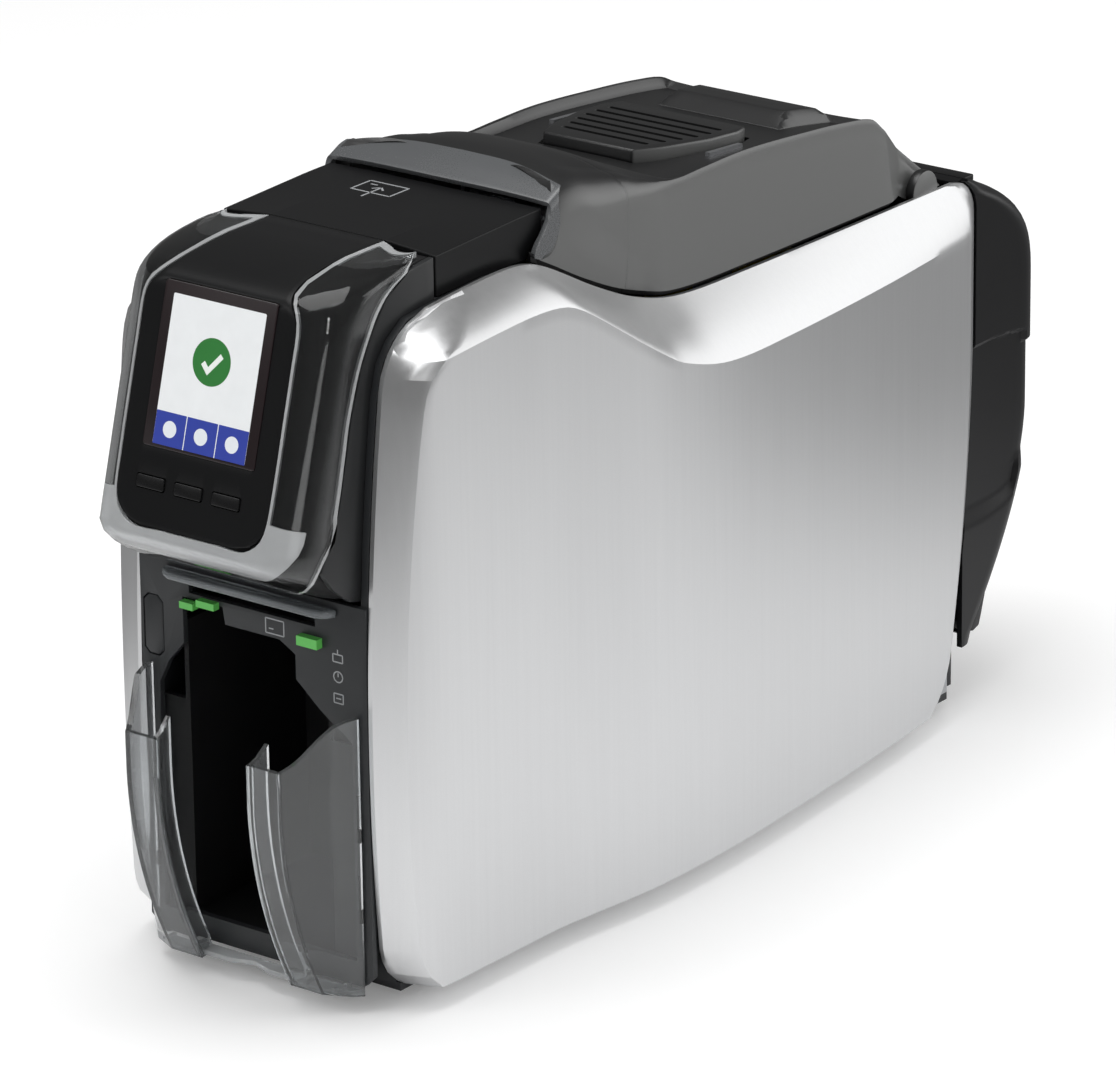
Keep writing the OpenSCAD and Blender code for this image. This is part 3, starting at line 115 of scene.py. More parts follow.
def corner(d, r):
    """How far a round corner of radius r sets an edge back at a distance d from its end."""
    return 0 if d >= r else r - math.sqrt(max(0, r * r - (r - max(0, d)) ** 2))


# %% [markdown]
# New pieces start as a primitive that is shaped in edit mode or point by point, and then get
# their wall and their round edges from modifiers. These helpers do the steps that repeat.

# %% Modelling helpers


def deselect():
    bpy.ops.object.select_all(action="DESELECT")


def activate(piece):
    deselect()
    piece.select_set(True)
    bpy.context.view_layer.objects.active = piece


def apply(piece, kind, **settings):
    """Adds a modifier, sets it and applies it."""
    activate(piece)
    modifier = piece.modifiers.new(kind.title(), kind)
    for key, value in settings.items():
        setattr(modifier, key, value)
    bpy.ops.object.modifier_apply(modifier=modifier.name)
    return piece


def face_outwards(piece):
    activate(piece)
    bpy.ops.object.mode_set(mode="EDIT")
    bpy.ops.mesh.select_all(action="SELECT")
    bpy.ops.mesh.remove_doubles(threshold=0.002 * MM)
    bpy.ops.mesh.normals_make_consistent(inside=False)
    bpy.ops.object.mode_set(mode="OBJECT")
    return piece


def sheet(name, us, vs, place):
    """A grid whose point (u, v) lies at place(u, v); u runs to the right and v up, seen from outside."""
    deselect()
    nu, nv = len(us) - 1, len(vs) - 1
    bpy.ops.mesh.primitive_grid_add(x_subdivisions=nu, y_subdivisions=nv, size=1)
    piece = bpy.context.object
    piece.name = piece.data.name = name
    for point in piece.data.vertices:
        i, j = round((point.co.x + 0.5) * nu), round((point.co.y + 0.5) * nv)
        point.co = at(*place(us[i], vs[j]))
    return piece


def wall(piece, thickness, rim_offset=0):
    """Gives a sheet its wall, inwards. Its narrow edges can take the next material."""
    return apply(piece, "SOLIDIFY", thickness=thickness * MM, offset=-1, material_offset_rim=rim_offset)


def round_edges(piece, width, segments=2, angle=35):
    """Rounds every edge that is sharper than the angle."""
    return apply(piece, "BEVEL", width=width * MM, segments=segments, limit_method="ANGLE",
                 angle_limit=math.radians(angle), use_clamp_overlap=True, material=-1)


def smooth_shade(piece, angle=32):
    activate(piece)
    bpy.ops.object.shade_smooth_by_angle(angle=math.radians(angle))
    return piece


def moulded(piece, thickness, edge, sharp, flat, rim_offset=0):
    """Gives a sheet its wall and its round edges, and shades it smooth where it turns by less than flat."""
    wall(piece, thickness, rim_offset)
    round_edges(piece, edge, 2, sharp)
    return smooth_shade(piece, flat)


def cut(piece, hole):
    apply(piece, "BOOLEAN", operation="DIFFERENCE", object=hole, solver="EXACT")
    bpy.data.objects.remove(hole)


def prism(name, outline, depth, place, edge=0.0, segments=2):
    """An outline of (u, v) pairs, raised by a depth. place(u, v, w) puts it on the machine."""
    deselect()
    bpy.ops.mesh.primitive_circle_add(vertices=len(outline), fill_type="NGON")
    piece = bpy.context.object
    piece.name = piece.data.name = name
    for point, (u, v) in zip(piece.data.vertices, outline):
        point.co = (u, v, 0)
    bpy.ops.object.mode_set(mode="EDIT")
    bpy.ops.mesh.select_all(action="SELECT")
    bpy.ops.mesh.extrude_region_move(TRANSFORM_OT_translate={"value": (0, 0, depth)})
    bpy.ops.object.mode_set(mode="OBJECT")
    for point in piece.data.vertices:
        point.co = at(*place(*point.co))
    face_outwards(piece)
    if edge:
        round_edges(piece, edge, segments, 30)
    return smooth_shade(piece)


def join(name, parts):
    """Joins pieces of one material into one object."""
    deselect()
    for part in parts:
        part.select_set(True)
    bpy.context.view_layer.objects.active = parts[0]
    bpy.ops.object.join()
    parts[0].name = parts[0].data.name = name
    return parts[0]


def mirrored(piece, name, body):
    """A copy on the other side of the machine and body."""
    deselect()
    copy = piece.copy()
    copy.data = piece.data.copy()
    copy.name = copy.data.name = name
    bpy.context.collection.objects.link(copy)
    copy.data.transform(Matrix.Diagonal((-1, 1, 1, 1)))
    copy.data.flip_normals()
    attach(copy, body)
    return copy


def rounded(w, h, r, n=5):
    """The outline of a rectangle with round corners, centred at 0."""
    centres = [(w / 2 - r, h / 2 - r, 0), (r - w / 2, h / 2 - r, 90), (r - w / 2, r - h / 2, 180),
               (w / 2 - r, r - h / 2, 270)]
    turns = [(x, y, math.radians(start + 90 * k / n)) for x, y, start in centres for k in range(n + 1)]
    return [(x + r * math.cos(a), y + r * math.sin(a)) for x, y, a in turns]


def ring(r, n=24):
    return [(r * math.cos(2 * math.pi * k / n), r * math.sin(2 * math.pi * k / n)) for k in range(n)]


def moved(outline, du, dv):
    return [(u + du, v + dv) for u, v in outline]


def fit(piece, finishes, slot, body, *nodes):
    """Gives a piece its finishes by name, its body and the CAD nodes that it stands for. Its slot is not
    used.
    """
    for finish in finishes if isinstance(finishes, list) else [finishes]:
        piece.data.materials.append(FINISHES[finish])
    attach(piece, body)
    if nodes:
        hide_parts(*nodes)
    print(f"{piece.name}: {len(piece.data.polygons)} faces")
    return piece


# %% [markdown]
# A finish is a small tree of nodes. Written node by node it is long and hard to read, so one
# class wraps a socket and lets an expression such as 1 - mask * 0.3 add the Math nodes itself.

# %% Shader values


class Value:
    """A number that varies over a surface. Arithmetic on it adds Math nodes."""

    def __init__(self, finish, socket):
        self.finish, self.socket = finish, socket

    def _math(self, operation, a, b):
        made = self.finish.node("ShaderNodeMath", {"operation": operation}, {0: a, 1: b})
        return Value(self.finish, made.outputs[0])

    def __add__(self, other):
        return self._math("ADD", self, other)

    def __sub__(self, other):
        return self._math("SUBTRACT", self, other)

    def __rsub__(self, other):
        return self._math("SUBTRACT", other, self)

    def __mul__(self, other):
        return self._math("MULTIPLY", self, other)

    __radd__, __rmul__ = __add__, __mul__


FINISHES = {}


class Finish:
    """One material, kept by its name, with its shader and the patterns that it reads."""

    def __init__(self, name, **constants):
        self.material = FINISHES[name] = bpy.data.materials.new(name)
        self.material.use_nodes = True
        self.tree = self.material.node_tree
        self.shader = self.tree.nodes["Principled BSDF"]
        for key, value in constants.items():
            self.shader.inputs[key.replace("_", " ")].default_value = value
        coordinates = self.node("ShaderNodeTexCoord").outputs
        self.place, self.facing = coordinates["Object"], coordinates["Normal"]

    def node(self, kind, settings=None, inputs=None):
        """Any node: its type, its settings, and the values or links of its sockets."""
        made = self.tree.nodes.new(kind)
        for key, value in (settings or {}).items():
            setattr(made, key, value)
        for key, value in (inputs or {}).items():
            source = value.socket if isinstance(value, Value) else value
            if isinstance(source, bpy.types.NodeSocket):
                self.tree.links.new(source, made.inputs[key])
            else:
                made.inputs[key].default_value = source
        return made

    def drive(self, name, value):
        """Links a value or a colour to a socket of the shader."""
        self.tree.links.new(value.socket if isinstance(value, Value) else value, self.shader.inputs[name])

    def noise(self, cell, detail=3.0, stretch=(1, 1, 1)):
        """Noise with cells of about a size in millimetres, longer along the stretched axes."""
        scale = [1 / (cell * MM * s) for s in stretch]
        mapped = self.node("ShaderNodeMapping", {}, {"Vector": self.place, "Scale": scale})
        made = self.node("ShaderNodeTexNoise", {},
                         {"Vector": mapped.outputs[0], "Scale": 1.0, "Detail": detail})
        return Value(self, made.outputs["Fac"])

    def axis(self, name):
        """The X, Y or Z of the place, in millimetres."""
        split = self.node("ShaderNodeSeparateXYZ", {}, {0: self.place})
        return Value(self, split.outputs[name]) * (1 / MM)

    def blend(self, a, b, share):
        """A colour between a and b."""
        made = self.node("ShaderNodeMix", {"data_type": "RGBA"}, {0: share, 6: a, 7: b})
        return made.outputs[2]

    def vector(self, operation, *inputs):
        """A Vector Math node."""
        return self.node("ShaderNodeVectorMath", {"operation": operation}, dict(enumerate(inputs)))

    def remap(self, value, low, high, at_low, at_high):
        """A value between two limits, read between two others and held beyond them."""
        made = self.node("ShaderNodeMapRange", {}, {0: value, 1: low, 2: high, 3: at_low, 4: at_high})
        return Value(self, made.outputs[0])

    def bump(self, height, depth):
        """Raises the surface by a height pattern, to a depth in millimetres."""
        made = self.node("ShaderNodeBump", {}, {"Height": height, "Distance": depth * MM, "Strength": 1.0})
        self.tree.links.new(made.outputs[0], self.shader.inputs["Normal"])


def shade(colour, factor):
    return (*[min(1.0, c * factor) for c in colour[:3]], 1.0)


# %% [markdown]
# Most of the machine is moulded plastic. Its look is a base colour that wanders a little, a
# spark-eroded grain that scatters the light, and a gloss that is never quite even.

# %% Plastic, rubber and paint


def plastic(name, colour, roughness, grain=0.5, depth=0.02, painted_sheen_colour=None, **constants):
    """Moulded plastic with a grain of a cell size and depth in millimetres. Faces that turn to the side can
    take a paler colour, a painted sheen.
    """
    finish = Finish(name, **constants)
    cloud = finish.noise(40, 2)
    pits = finish.noise(grain, 2)
    tone = finish.blend(shade(colour, 0.88), shade(colour, 1.12), cloud * 0.7 + pits * 0.3)
    # faces turned to the side get a paler colour: a painted sheen, not a colour of the plastic
    if painted_sheen_colour:
        turned = finish.vector("ABSOLUTE", finish.facing).outputs[0]
        painted_sheen_side = finish.node("ShaderNodeSeparateXYZ", {}, {0: turned}).outputs["X"]
        tone = finish.blend(tone, painted_sheen_colour, finish.remap(painted_sheen_side, 0.6, 0.97, 0.0, 1.0))
    finish.drive("Base Color", tone)
    finish.drive("Roughness", cloud * 0.08 + pits * 0.06 + (roughness - 0.07))
    finish.bump(pits, depth)


def silver_paint():
    """Satin metallic paint: fine flakes and the faintest upright streaks of the spray."""
    finish = Finish("silver_paint", Metallic=0.9, Specular_IOR_Level=0.5)
    flakes = finish.noise(0.35, 1)
    streaks = finish.noise(5, 3, (0.5, 0.35, 18))
    dark, light = (0.71, 0.715, 0.72, 1), (0.80, 0.805, 0.81, 1)
    finish.drive("Base Color", finish.blend(dark, light, flakes * 0.5 + streaks * 0.5))
    finish.drive("Roughness", streaks * 0.05 + flakes * 0.05 + 0.25)
    finish.bump(flakes * 0.6 + streaks * 0.4, 0.006)


def clear_plastic(name, colour, through, roughness):
    """Clear moulded plastic. Part of the light goes through it, the rest shows a grey haze."""
    finish = Finish(name, Transmission_Weight=through, IOR=1.47)
    haze = finish.noise(14, 3)
    scratches = finish.noise(1.2, 2, (1, 1, 6))
    finish.drive("Base Color", finish.blend(shade(colour, 0.88), shade(colour, 1.06), haze))
    finish.drive("Roughness", scratches * 0.06 + (roughness - 0.02))
    finish.bump(scratches, 0.0008)


def metal(name, colour, roughness, grain=(1, 1, 8)):
    """Machined or rolled metal with a brushed grain."""
    finish = Finish(name, Metallic=1.0)
    lines = finish.noise(0.8, 2, grain)
    tarnish = finish.noise(25, 3)
    wear = lines * 0.5 + tarnish * 0.5
    finish.drive("Base Color", finish.blend(shade(colour, 0.82), shade(colour, 1.08), wear))
    finish.drive("Roughness", lines * 0.12 + tarnish * 0.1 + (roughness - 0.1))
    finish.bump(lines, 0.006)


def circuit():
    """Solder mask over copper tracks: green with a grid of slightly raised lines."""
    finish = Finish("circuit", Specular_IOR_Level=0.5)
    tracks = finish.node("ShaderNodeTexBrick", {"offset": 0.37}, {"Vector": finish.place, "Scale": 160.0,
                         "Mortar Size": 0.06, "Color1": (0, 0, 0, 1), "Color2": (0.2, 0.2, 0.2, 1),
                         "Mortar": (1, 1, 1, 1)})
    line = Value(finish, tracks.outputs["Fac"])
    finish.drive("Base Color", finish.blend((0.015, 0.10, 0.045, 1), (0.05, 0.22, 0.10, 1), line))
    finish.drive("Roughness", finish.noise(8) * 0.15 + 0.3)
    finish.bump(line, 0.03)


silver_paint()
plastic("black_casing", (0.018, 0.019, 0.021), 0.46)
plastic("cheek_grey", (0.016, 0.017, 0.018), 0.40)
plastic("bezel_grey", (0.024, 0.026, 0.028), 0.45)
plastic("well_black", (0.003, 0.003, 0.0035), 0.6)
plastic("feet_rubber", (0.012, 0.012, 0.012), 0.85, 0.8, 0.05)
plastic("gloss_black", (0.006, 0.006, 0.007), 0.24, 0.6, 0.004)
plastic("satin_black", (0.006, 0.0062, 0.0067), 0.36, 0.5, 0.010, Specular_IOR_Level=0.28)
plastic("button_black", (0.005, 0.005, 0.0055), 0.28, 0.5, 0.006)
# faces of this finish that turn to the side get a paler grey: a painted sheen where they catch the light
plastic("cover_black", (0.006, 0.0062, 0.0066), 0.38, 0.45, 0.012, painted_sheen_colour=(0.12, 0.122, 0.12, 1),
        Specular_IOR_Level=0.9)
plastic("collar_grey", (0.095, 0.099, 0.103), 0.27, 0.5, 0.006, Specular_IOR_Level=0.9)
plastic("hood_black", (0.005, 0.005, 0.0057), 0.34, 0.5, 0.010, Specular_IOR_Level=0.35)
plastic("light_guide", (0.12, 0.52, 0.10), 0.25, 1.0, 0.01)
clear_plastic("clear_shell", (0.93, 0.95, 0.955), 1.0, 0.03)
# a paler, less clear finish for edges and the chin band: a painted highlight
clear_plastic("clear_rim", (0.88, 0.90, 0.91), 0.62, 0.12)
clear_plastic("hopper_film", (0.86, 0.88, 0.89), 0.95, 0.04)
clear_plastic("smoky_lip", (0.42, 0.45, 0.47), 0.7, 0.10)
metal("plate_steel", (0.55, 0.56, 0.58), 0.38)
metal("pin_steel", (0.66, 0.67, 0.69), 0.22, (8, 1, 1))
metal("bush_brass", (0.70, 0.50, 0.24), 0.32)
metal("motor_case", (0.30, 0.31, 0.33), 0.42, (8, 1, 1))
plastic("roller_rubber", (0.030, 0.030, 0.031), 0.78, 0.3, 0.03)
plastic("cleaning_rubber", (0.05, 0.19, 0.42), 0.60, 0.4, 0.01)
plastic("belt_rubber", (0.012, 0.012, 0.012), 0.72, 1.5, 0.08)
circuit()
plastic("ribbon_yellow", (0.62, 0.47, 0.04), 0.30, 3.0, 0.01)
plastic("ribbon_dark", (0.030, 0.026, 0.085), 0.28, 3.0, 0.01)
plastic("inlet_black", (0.010, 0.010, 0.010), 0.45)
print("finishes:", len(FINISHES))

# %% [markdown]
# The camera stands where the photograph's camera stood, found from the places of known corners in
# the picture. A long lens keeps upright edges nearly parallel.

# %% Camera
RIGHT, UP, BACK = (0.79610, 0.60504, -0.01243), (-0.20186, 0.28485, 0.93708), (0.57051, -0.74350, 0.34890)
bpy.ops.object.camera_add()
camera = bpy.context.object
camera.name = "photo_camera"
axes = Matrix((RIGHT, UP, BACK)).transposed().to_4x4()
camera.matrix_world = Matrix.Translation((1.446, -1.8995, 0.9964)) @ axes
camera.data.lens = 225.8
camera.data.sensor_fit = "HORIZONTAL"
camera.data.sensor_width = 36.0
camera.data.clip_end = 50
bpy.context.scene.camera = camera
print("camera:", tuple(round(c, 3) for c in camera.location))

# %% [markdown]
# A product photograph is lit by large soft boxes around a white table. In reflections only, the table's
# colour darkens with distance: a painted shade, which gives the satin panels their grey upper part.

# %% Floor and light
bpy.context.scene.view_settings.view_transform = "Standard"
bpy.ops.mesh.primitive_plane_add(size=12, location=(0, 0, 0))
floor = bpy.context.object
floor.name = "floor"
table = Finish("floor_white", Roughness=0.9, Specular_IOR_Level=0.1)
spread_out = table.vector("ABSOLUTE", table.place).outputs[0]
beyond = table.vector("SUBTRACT", spread_out, (0.07, 0.2, 0)).outputs[0]
beside = table.vector("MAXIMUM", beyond, (0, 0, 0)).outputs[0]
away = Value(table, table.vector("LENGTH", beside).outputs["Value"])
# painted shade: for glossy rays the table's colour darkens away from the machine
behind = table.remap((table.axis("Y") - table.axis("X")) * MM, -0.1, 0.2, 0.3, 1.0)
painted_falloff = table.remap(away * behind, 0.0, 0.34, 1.0, 0.22)
glossy = table.node("ShaderNodeLightPath").outputs["Is Glossy Ray"]
painted_falloff_tone = table.blend((0.0, 0.0, 0.0, 1), (0.93, 0.93, 0.935, 1), painted_falloff)
table.drive("Base Color", table.blend((0.93, 0.93, 0.93, 1), painted_falloff_tone, glossy))
table.shader.inputs["Emission Strength"].default_value = 0.16
seen_directly = table.node("ShaderNodeLightPath").outputs["Is Camera Ray"]
table.drive("Emission Color", table.blend((0, 0, 0, 1), (1, 1, 1, 1), seen_directly))
floor.data.materials.append(table.material)

world = bpy.data.worlds.new("studio")
bpy.context.scene.world = world
world.use_nodes = True
tree = world.node_tree
rays = tree.nodes.new("ShaderNodeLightPath")
dim = tree.nodes.new("ShaderNodeMix")
dim.inputs[2].default_value, dim.inputs[3].default_value = 0.55, 0.13
seen = tree.nodes.new("ShaderNodeMix")
seen.inputs[3].default_value = 1.0
tree.links.new(rays.outputs["Is Glossy Ray"], dim.inputs[0])
tree.links.new(dim.outputs[0], seen.inputs[2])
tree.links.new(rays.outputs["Is Camera Ray"], seen.inputs[0])
tree.links.new(seen.outputs[0], tree.nodes["Background"].inputs["Strength"])
tree.nodes["Background"].inputs["Color"].default_value = (1, 1, 1, 1)


def softbox(name, place, target, width, height, power):
    """A rectangular lamp that looks at a target."""
    bpy.ops.object.light_add(type="AREA", location=place)
    lamp = bpy.context.object
    lamp.name = name
    lamp.data.shape = "RECTANGLE"
    lamp.data.size, lamp.data.size_y = width, height
    lamp.data.energy = power
    lamp.rotation_euler = (Vector(target) - Vector(place)).to_track_quat("-Z", "Y").to_euler()
    return lamp


softbox("top_box", (-0.15, -0.25, 1.7), (0, 0, 0.1), 1.3, 1.3, 15)
softbox("rear_right_box", (1.3, 1.9, 1.0), (0, 0, 0.25), 2.5, 2.4, 23)
softbox("front_left_box", (-1.0, -1.55, 1.35), (0, -0.1, 0.2), 0.9, 0.5, 3)
softbox("corner_strip", (1.75, -1.15, 0.95), (0, -0.1, 0.2), 0.10, 1.0, 2.2)
softbox("low_card", (1.9, -1.6, 0.16), (0, -0.1, 0.16), 1.1, 0.30, 1.6)

# %% [markdown]
# The side panels are injection-moulded and painted satin silver. Their rim slopes in to a narrow
# flat edge, and a crease runs where the slope meets the side. The grid's rows and columns follow
# that crease, so it stays crisp while everything else is smooth.

# %% Side panels
RIM_LINE = [(20, 247.5), (62, 250.3), (84, 250), (97, 246.5), (128, 230.5), (151, 220.5), (175, 214.6),
            (215, 212.8), (350, 211.2)]
PLAN_LINE = [(0, 62), (14, 66.5), (45, 68), (80, 69), (100, 71.3), (126, 74.6), (150, 75.5), (180, 75.1),
             (215, 73), (250, 70.3), (290, 66.5), (335, 61), (362, 58)]
RIM_OUT, RIM_IN, PANEL_LOW, PANEL_REAR = 52.2, 50.5, 5, 362
FRONT_BAND = [(0, 5), (200, 5), (215, 5.2), (224, 5.8), (232, 8), (236, 12), (239, 19), (247.5, 24)]
REAR_BAND, FOOT_BAND = 12, 4
MIDDLE = [84, 300]


def rim_z(y):
    return curve(RIM_LINE, y)


def panel_front(z):
    return -1 + 6.7 * ((z - 98) / 108) ** 2 + corner(z - PANEL_LOW, 20) + corner(247.5 - z, 22)


def panel_back(z):
    lean = 11.6 * (max(0, 155 - z) / 113) ** 2
    return PANEL_REAR - lean - corner(z - PANEL_LOW, 24) - corner(211.2 - z, 14)


def rim_band(y):
    return lerp(12, 20, unit((y - 90) / 55))


def slope_in(q):
    return 1 - 0.55 * unit(q) - 0.45 * math.sin(math.pi / 2 * unit(q))


def panel_x(y, z):
    edges = [(rim_z(y) - z) / rim_band(y), (y - panel_front(z)) / curve(FRONT_BAND, z),
             (panel_back(z) - y) / REAR_BAND, (z - PANEL_LOW) / FOOT_BAND]
    return lerp(RIM_OUT, curve(PLAN_LINE, y), unit(1 - math.hypot(*[slope_in(q) for q in edges])))


def banded(stops, u):
    """A place between stops, for u from 0 to the number of stops less one."""
    u = max(0, min(len(stops) - 1, u))
    k = min(len(stops) - 2, int(u))
    return lerp(stops[k], stops[k + 1], u - k)


def panel_place(u, v):
    """u: front edge 0, crease 1, middle 2 to 3, rear crease 4, edge 5. v: foot 0 to 1, crease 2, rim 3."""
    y = 180
    for _ in range(4):
        z = banded([PANEL_LOW, PANEL_LOW + FOOT_BAND, rim_z(y) - rim_band(y), rim_z(y)], v)
        front, back = panel_front(z), panel_back(z)
        y = banded([front, front + curve(FRONT_BAND, z)] + MIDDLE + [back - REAR_BAND, back], u)
    outside = u < 0 or u > 5 or v < 0 or v > 3
    return (RIM_IN if outside else panel_x(y, z)), y, z


band_steps = [0, 0.12, 0.3, 0.5, 0.75]
us = ([-1] + band_steps + spread(1, 2, 16) + spread(2.02, 3, 54) + spread(3.12, 3.9, 6)
      + [4, 4.15, 4.35, 4.6, 4.85, 5, 6])
vs = [-1] + [0, 0.25, 0.6] + [1 + k / 44 for k in range(45)] + [2.12, 2.28, 2.45, 2.62, 2.8, 2.92, 3, 4]
panel = sheet("panel_skin_right", us, vs, panel_place)
moulded(panel, 2.0, 0.35, 40, 17)
fit(panel, "silver_paint", "silver_panel", "frame")
left_panel = mirrored(panel, "panel_skin_left", "frame")
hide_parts("side_panel_right")
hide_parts("side_panel_left")

# %% [markdown]
# The display housing leans back and rolls over its brow into the roof. One function gives its
# outer skin: c runs round it from the left side (-3) over the face (-1 to 1) to the right side
# (3), and v runs up the face and then back along the roof. Every skin of the head lies on it.

# %% Skin of the display housing
SEAM_Z, CHIN, HEAD_TOP, HEAD_X, HEAD_BACK, FACE_X = 150, 172, 264.5, 46.5, 45, 31.5
TILT = math.radians(15.8)
FACE_Y, FACE_Z, BROW_RUN = 35 - (228 - 172) * math.tan(TILT), 228, 31


def face_front(z):
    return -FACE_Y + (z - FACE_Z) * math.tan(TILT)


def bent(z, start, power):
    return BROW_RUN * unit((z - start) / (HEAD_TOP - start)) ** power


def head_front(z):
    if z < CHIN:
        return lerp(face_front(CHIN), -2, ((CHIN - z) / 22) ** 1.6)
    return face_front(z) + bent(z, 250, 5.3)


def head_place(c, v, d=0.0):
    """A point of the skin, d inside it."""
    z, side, c = min(v, HEAD_TOP), math.copysign(1, c), abs(c)
    f = head_front(z)
    r = min(17, max(4, HEAD_BACK - f - 6))
    w = HEAD_X - corner(HEAD_TOP - z, 5) - d
    a = math.pi / 2 * unit(c - 1)
    g = (bent(z, 244, 4.5) - bent(z, 250, 5.3)) * math.sin(a)
    x = FACE_X * c if c < 1 else FACE_X + (w - FACE_X) * math.sin(a)
    y = f + d + g + r - r * math.cos(a)
    y = lerp(y, HEAD_BACK, unit(c - 2))
    return side * x, min(HEAD_BACK, y + max(0, v - HEAD_TOP)), min(z, HEAD_TOP - d)


def head_c(y, z):
    """Where the skin of the right side has a depth y, at a height z."""
    low, high = 1.0, 3.0
    for _ in range(30):
        middle = (low + high) / 2
        low, high = (middle, high) if head_place(middle, z)[1] < y else (low, middle)
    return low


def on_face(u, v, w):
    """A place on the tilted face: u to the right, v up from the screen's centre, w outwards."""
    return (u, -FACE_Y - w * math.cos(TILT) + v * math.sin(TILT),
            FACE_Z + w * math.sin(TILT) + v * math.cos(TILT))


# %% [markdown]
# The dark body of the housing shows through the clear shell. A little behind it would be the
# boards, so the openings for the glass and the three buttons are cut right through it.

# %% Housing body
GLASS_W, GLASS_H, GLASS_UP = 49, 57, 1.5
BUTTON_X, BUTTON_UP, BUTTON_W, BUTTON_H = (-18.5, -2, 14.5), -39.3, 12, 4.4


def cut_face(piece):
    """Cuts the display opening and the button openings."""
    outlines = [moved(rounded(GLASS_W + 0.3, GLASS_H + 0.3, 1.4), 0, GLASS_UP)]
    outlines += [moved(rounded(BUTTON_W + 0.7, BUTTON_H + 0.7, 0.8), x, BUTTON_UP) for x in BUTTON_X]
    for outline in outlines:
        cut(piece, prism("cut", outline, 16, lambda u, v, w: on_face(u, v, w - 12)))


rows = spread(SEAM_Z + 0.4, CHIN, 10) + spread(176, 244, 12) + spread(247, HEAD_TOP, 14)
columns = spread(0, 1, 4) + spread(1.08, 2, 11) + spread(2.2, 3, 4)
around = [-c for c in columns[:0:-1]] + columns
core = sheet("head_body", around, rows + [HEAD_TOP + 8, HEAD_TOP + 16, HEAD_TOP + 24],
             lambda c, v: head_place(c, v, 2.5))
wall(core, 2.0)
cut_face(core)
smooth_shade(core, 35)
fit(core, "well_black", "gloss_black", "frame", "head_housing")

# %% [markdown]
# The face plate is satin black, with large round corners at its foot and a hair-thin bright edge.
# It follows the skin over the brow and runs back along the roof.

# %% Face plate
PLATE_C, PLATE_LOW = 1.064, 176.0


def plate_edge(v):
    """Half the plate's width, as c, at a height v."""
    return PLATE_C - corner(v - PLATE_LOW, 13) / FACE_X - 0.28 * smooth((v - 249) / 16)


plate_rows = (spread(PLATE_LOW, PLATE_LOW + 13, 9) + spread(192, 244, 8) + spread(246, HEAD_TOP, 16)
              + [HEAD_TOP + 7, HEAD_TOP + 15, HEAD_TOP + 22.4])
plate = sheet("head_face_plate", spread(-1, 1, 22), plate_rows,
              lambda s, v: head_place(s * plate_edge(v), v, 0.1))
wall(plate, 2.2)
cut_face(plate)
round_edges(plate, 0.45, 2, 50)
smooth_shade(plate, 35)
fit(plate, "satin_black", "gloss_black", "frame")

# %% [markdown]
# The clear shell is a U of clear acrylic: down one side, round under the chin and up the other.
# Its inner edge runs along the plate and its outer edge along the cheeks. Its moulded edges and a
# band under the chin get a paler, less clear finish: a painted highlight where they catch the light.

# %% Clear shell
SHELL_REAR = [(30.5, 261), (17.9, 254.7), (10.7, 246), (3.8, 234), (-2.1, 218), (-5.3, 204.6), (-9.6, 188)]
SHELL_STEPS = 40
shell_inner = [(0.80, HEAD_TOP + 22), (0.80, HEAD_TOP + 6)] + [(plate_edge(z) + 0.02, z) for z in (262, 252)]
shell_inner += [(1.08, 236), (1.08, 218), (1.08, 200), (1.04, 183), (0.80, 175.6), (0.4, 175.4), (0, 175.4)]
shell_outer = [(head_c(y, z), z) for y, z in SHELL_REAR]
shell_outer = [shell_outer[0], (head_c(24, 258.5), 258.5)] + shell_outer[1:]
shell_outer += [(head_c(-17.1, 172.5), 172.5), (1.25, 158.5), (0.5, 156.5), (0, 156)]
half = [[path(line, k / SHELL_STEPS) for line in (shell_inner, shell_outer)] for k in range(SHELL_STEPS + 1)]


def shell_place(u, v):
    """u runs along the U from the left top to the right top, v from its outer to its inner edge."""
    inner, outer = half[SHELL_STEPS - round(abs(u))]
    c, z = [lerp(outer[axis], inner[axis], v) for axis in (0, 1)]
    return head_place(math.copysign(c, u), z)


shell_vs = [0, 0.035] + spread(0.08, 0.92, 12) + [0.955, 1]
shell = sheet("head_shell", range(-SHELL_STEPS, SHELL_STEPS + 1), shell_vs, shell_place)
fit(shell, ["clear_shell", "clear_rim"], "clear_shell", "frame", "head_clear_shell")
# edge faces and a band under the chin take the paler clear finish: a painted highlight
for face in shell.data.polygons:
    row, column = divmod(face.index, 2 * SHELL_STEPS)
    step = abs(column + 0.5 - SHELL_STEPS)
    at_edge = row in (0, len(shell_vs) - 2) or step > SHELL_STEPS - 1
    in_chin = step < 13 and row > 6
    face.material_index = 1 if at_edge or in_chin else 0
moulded(shell, 2.0, 0.3, 50, 35, 1)

# %% [markdown]
# Behind the shell a matte cheek closes each side of the head. It is a flat moulding, so it is
# drawn as an outline and raised.

# %% Cheeks of the head
cheek_front = [(y + 1.0, z) for y, z in SHELL_REAR]
cheek_front += [(-12, 181), (-16, 174), (-19, 168), (-13, 160), (-4, 153)]
cheek = cheek_front[::-1] + [(40, 262.2), (44.6, 262.6), (44.6, 156), (40, 151), (4, 151)]
for side, name in ((1, "right"), (-1, "left")):
    piece = prism("head_cheek_" + name, cheek, 2.3, lambda u, v, w: (side * (HEAD_X - w), u, v), 0.5)
    fit(piece, "cheek_grey", "gloss_black", "frame")

# %% [markdown]
# The display is a pane of dark glass with the picture showing through it. The printed border has
# a trace of red in it. The picture is a plain status screen: a tick in a disc and three keys.

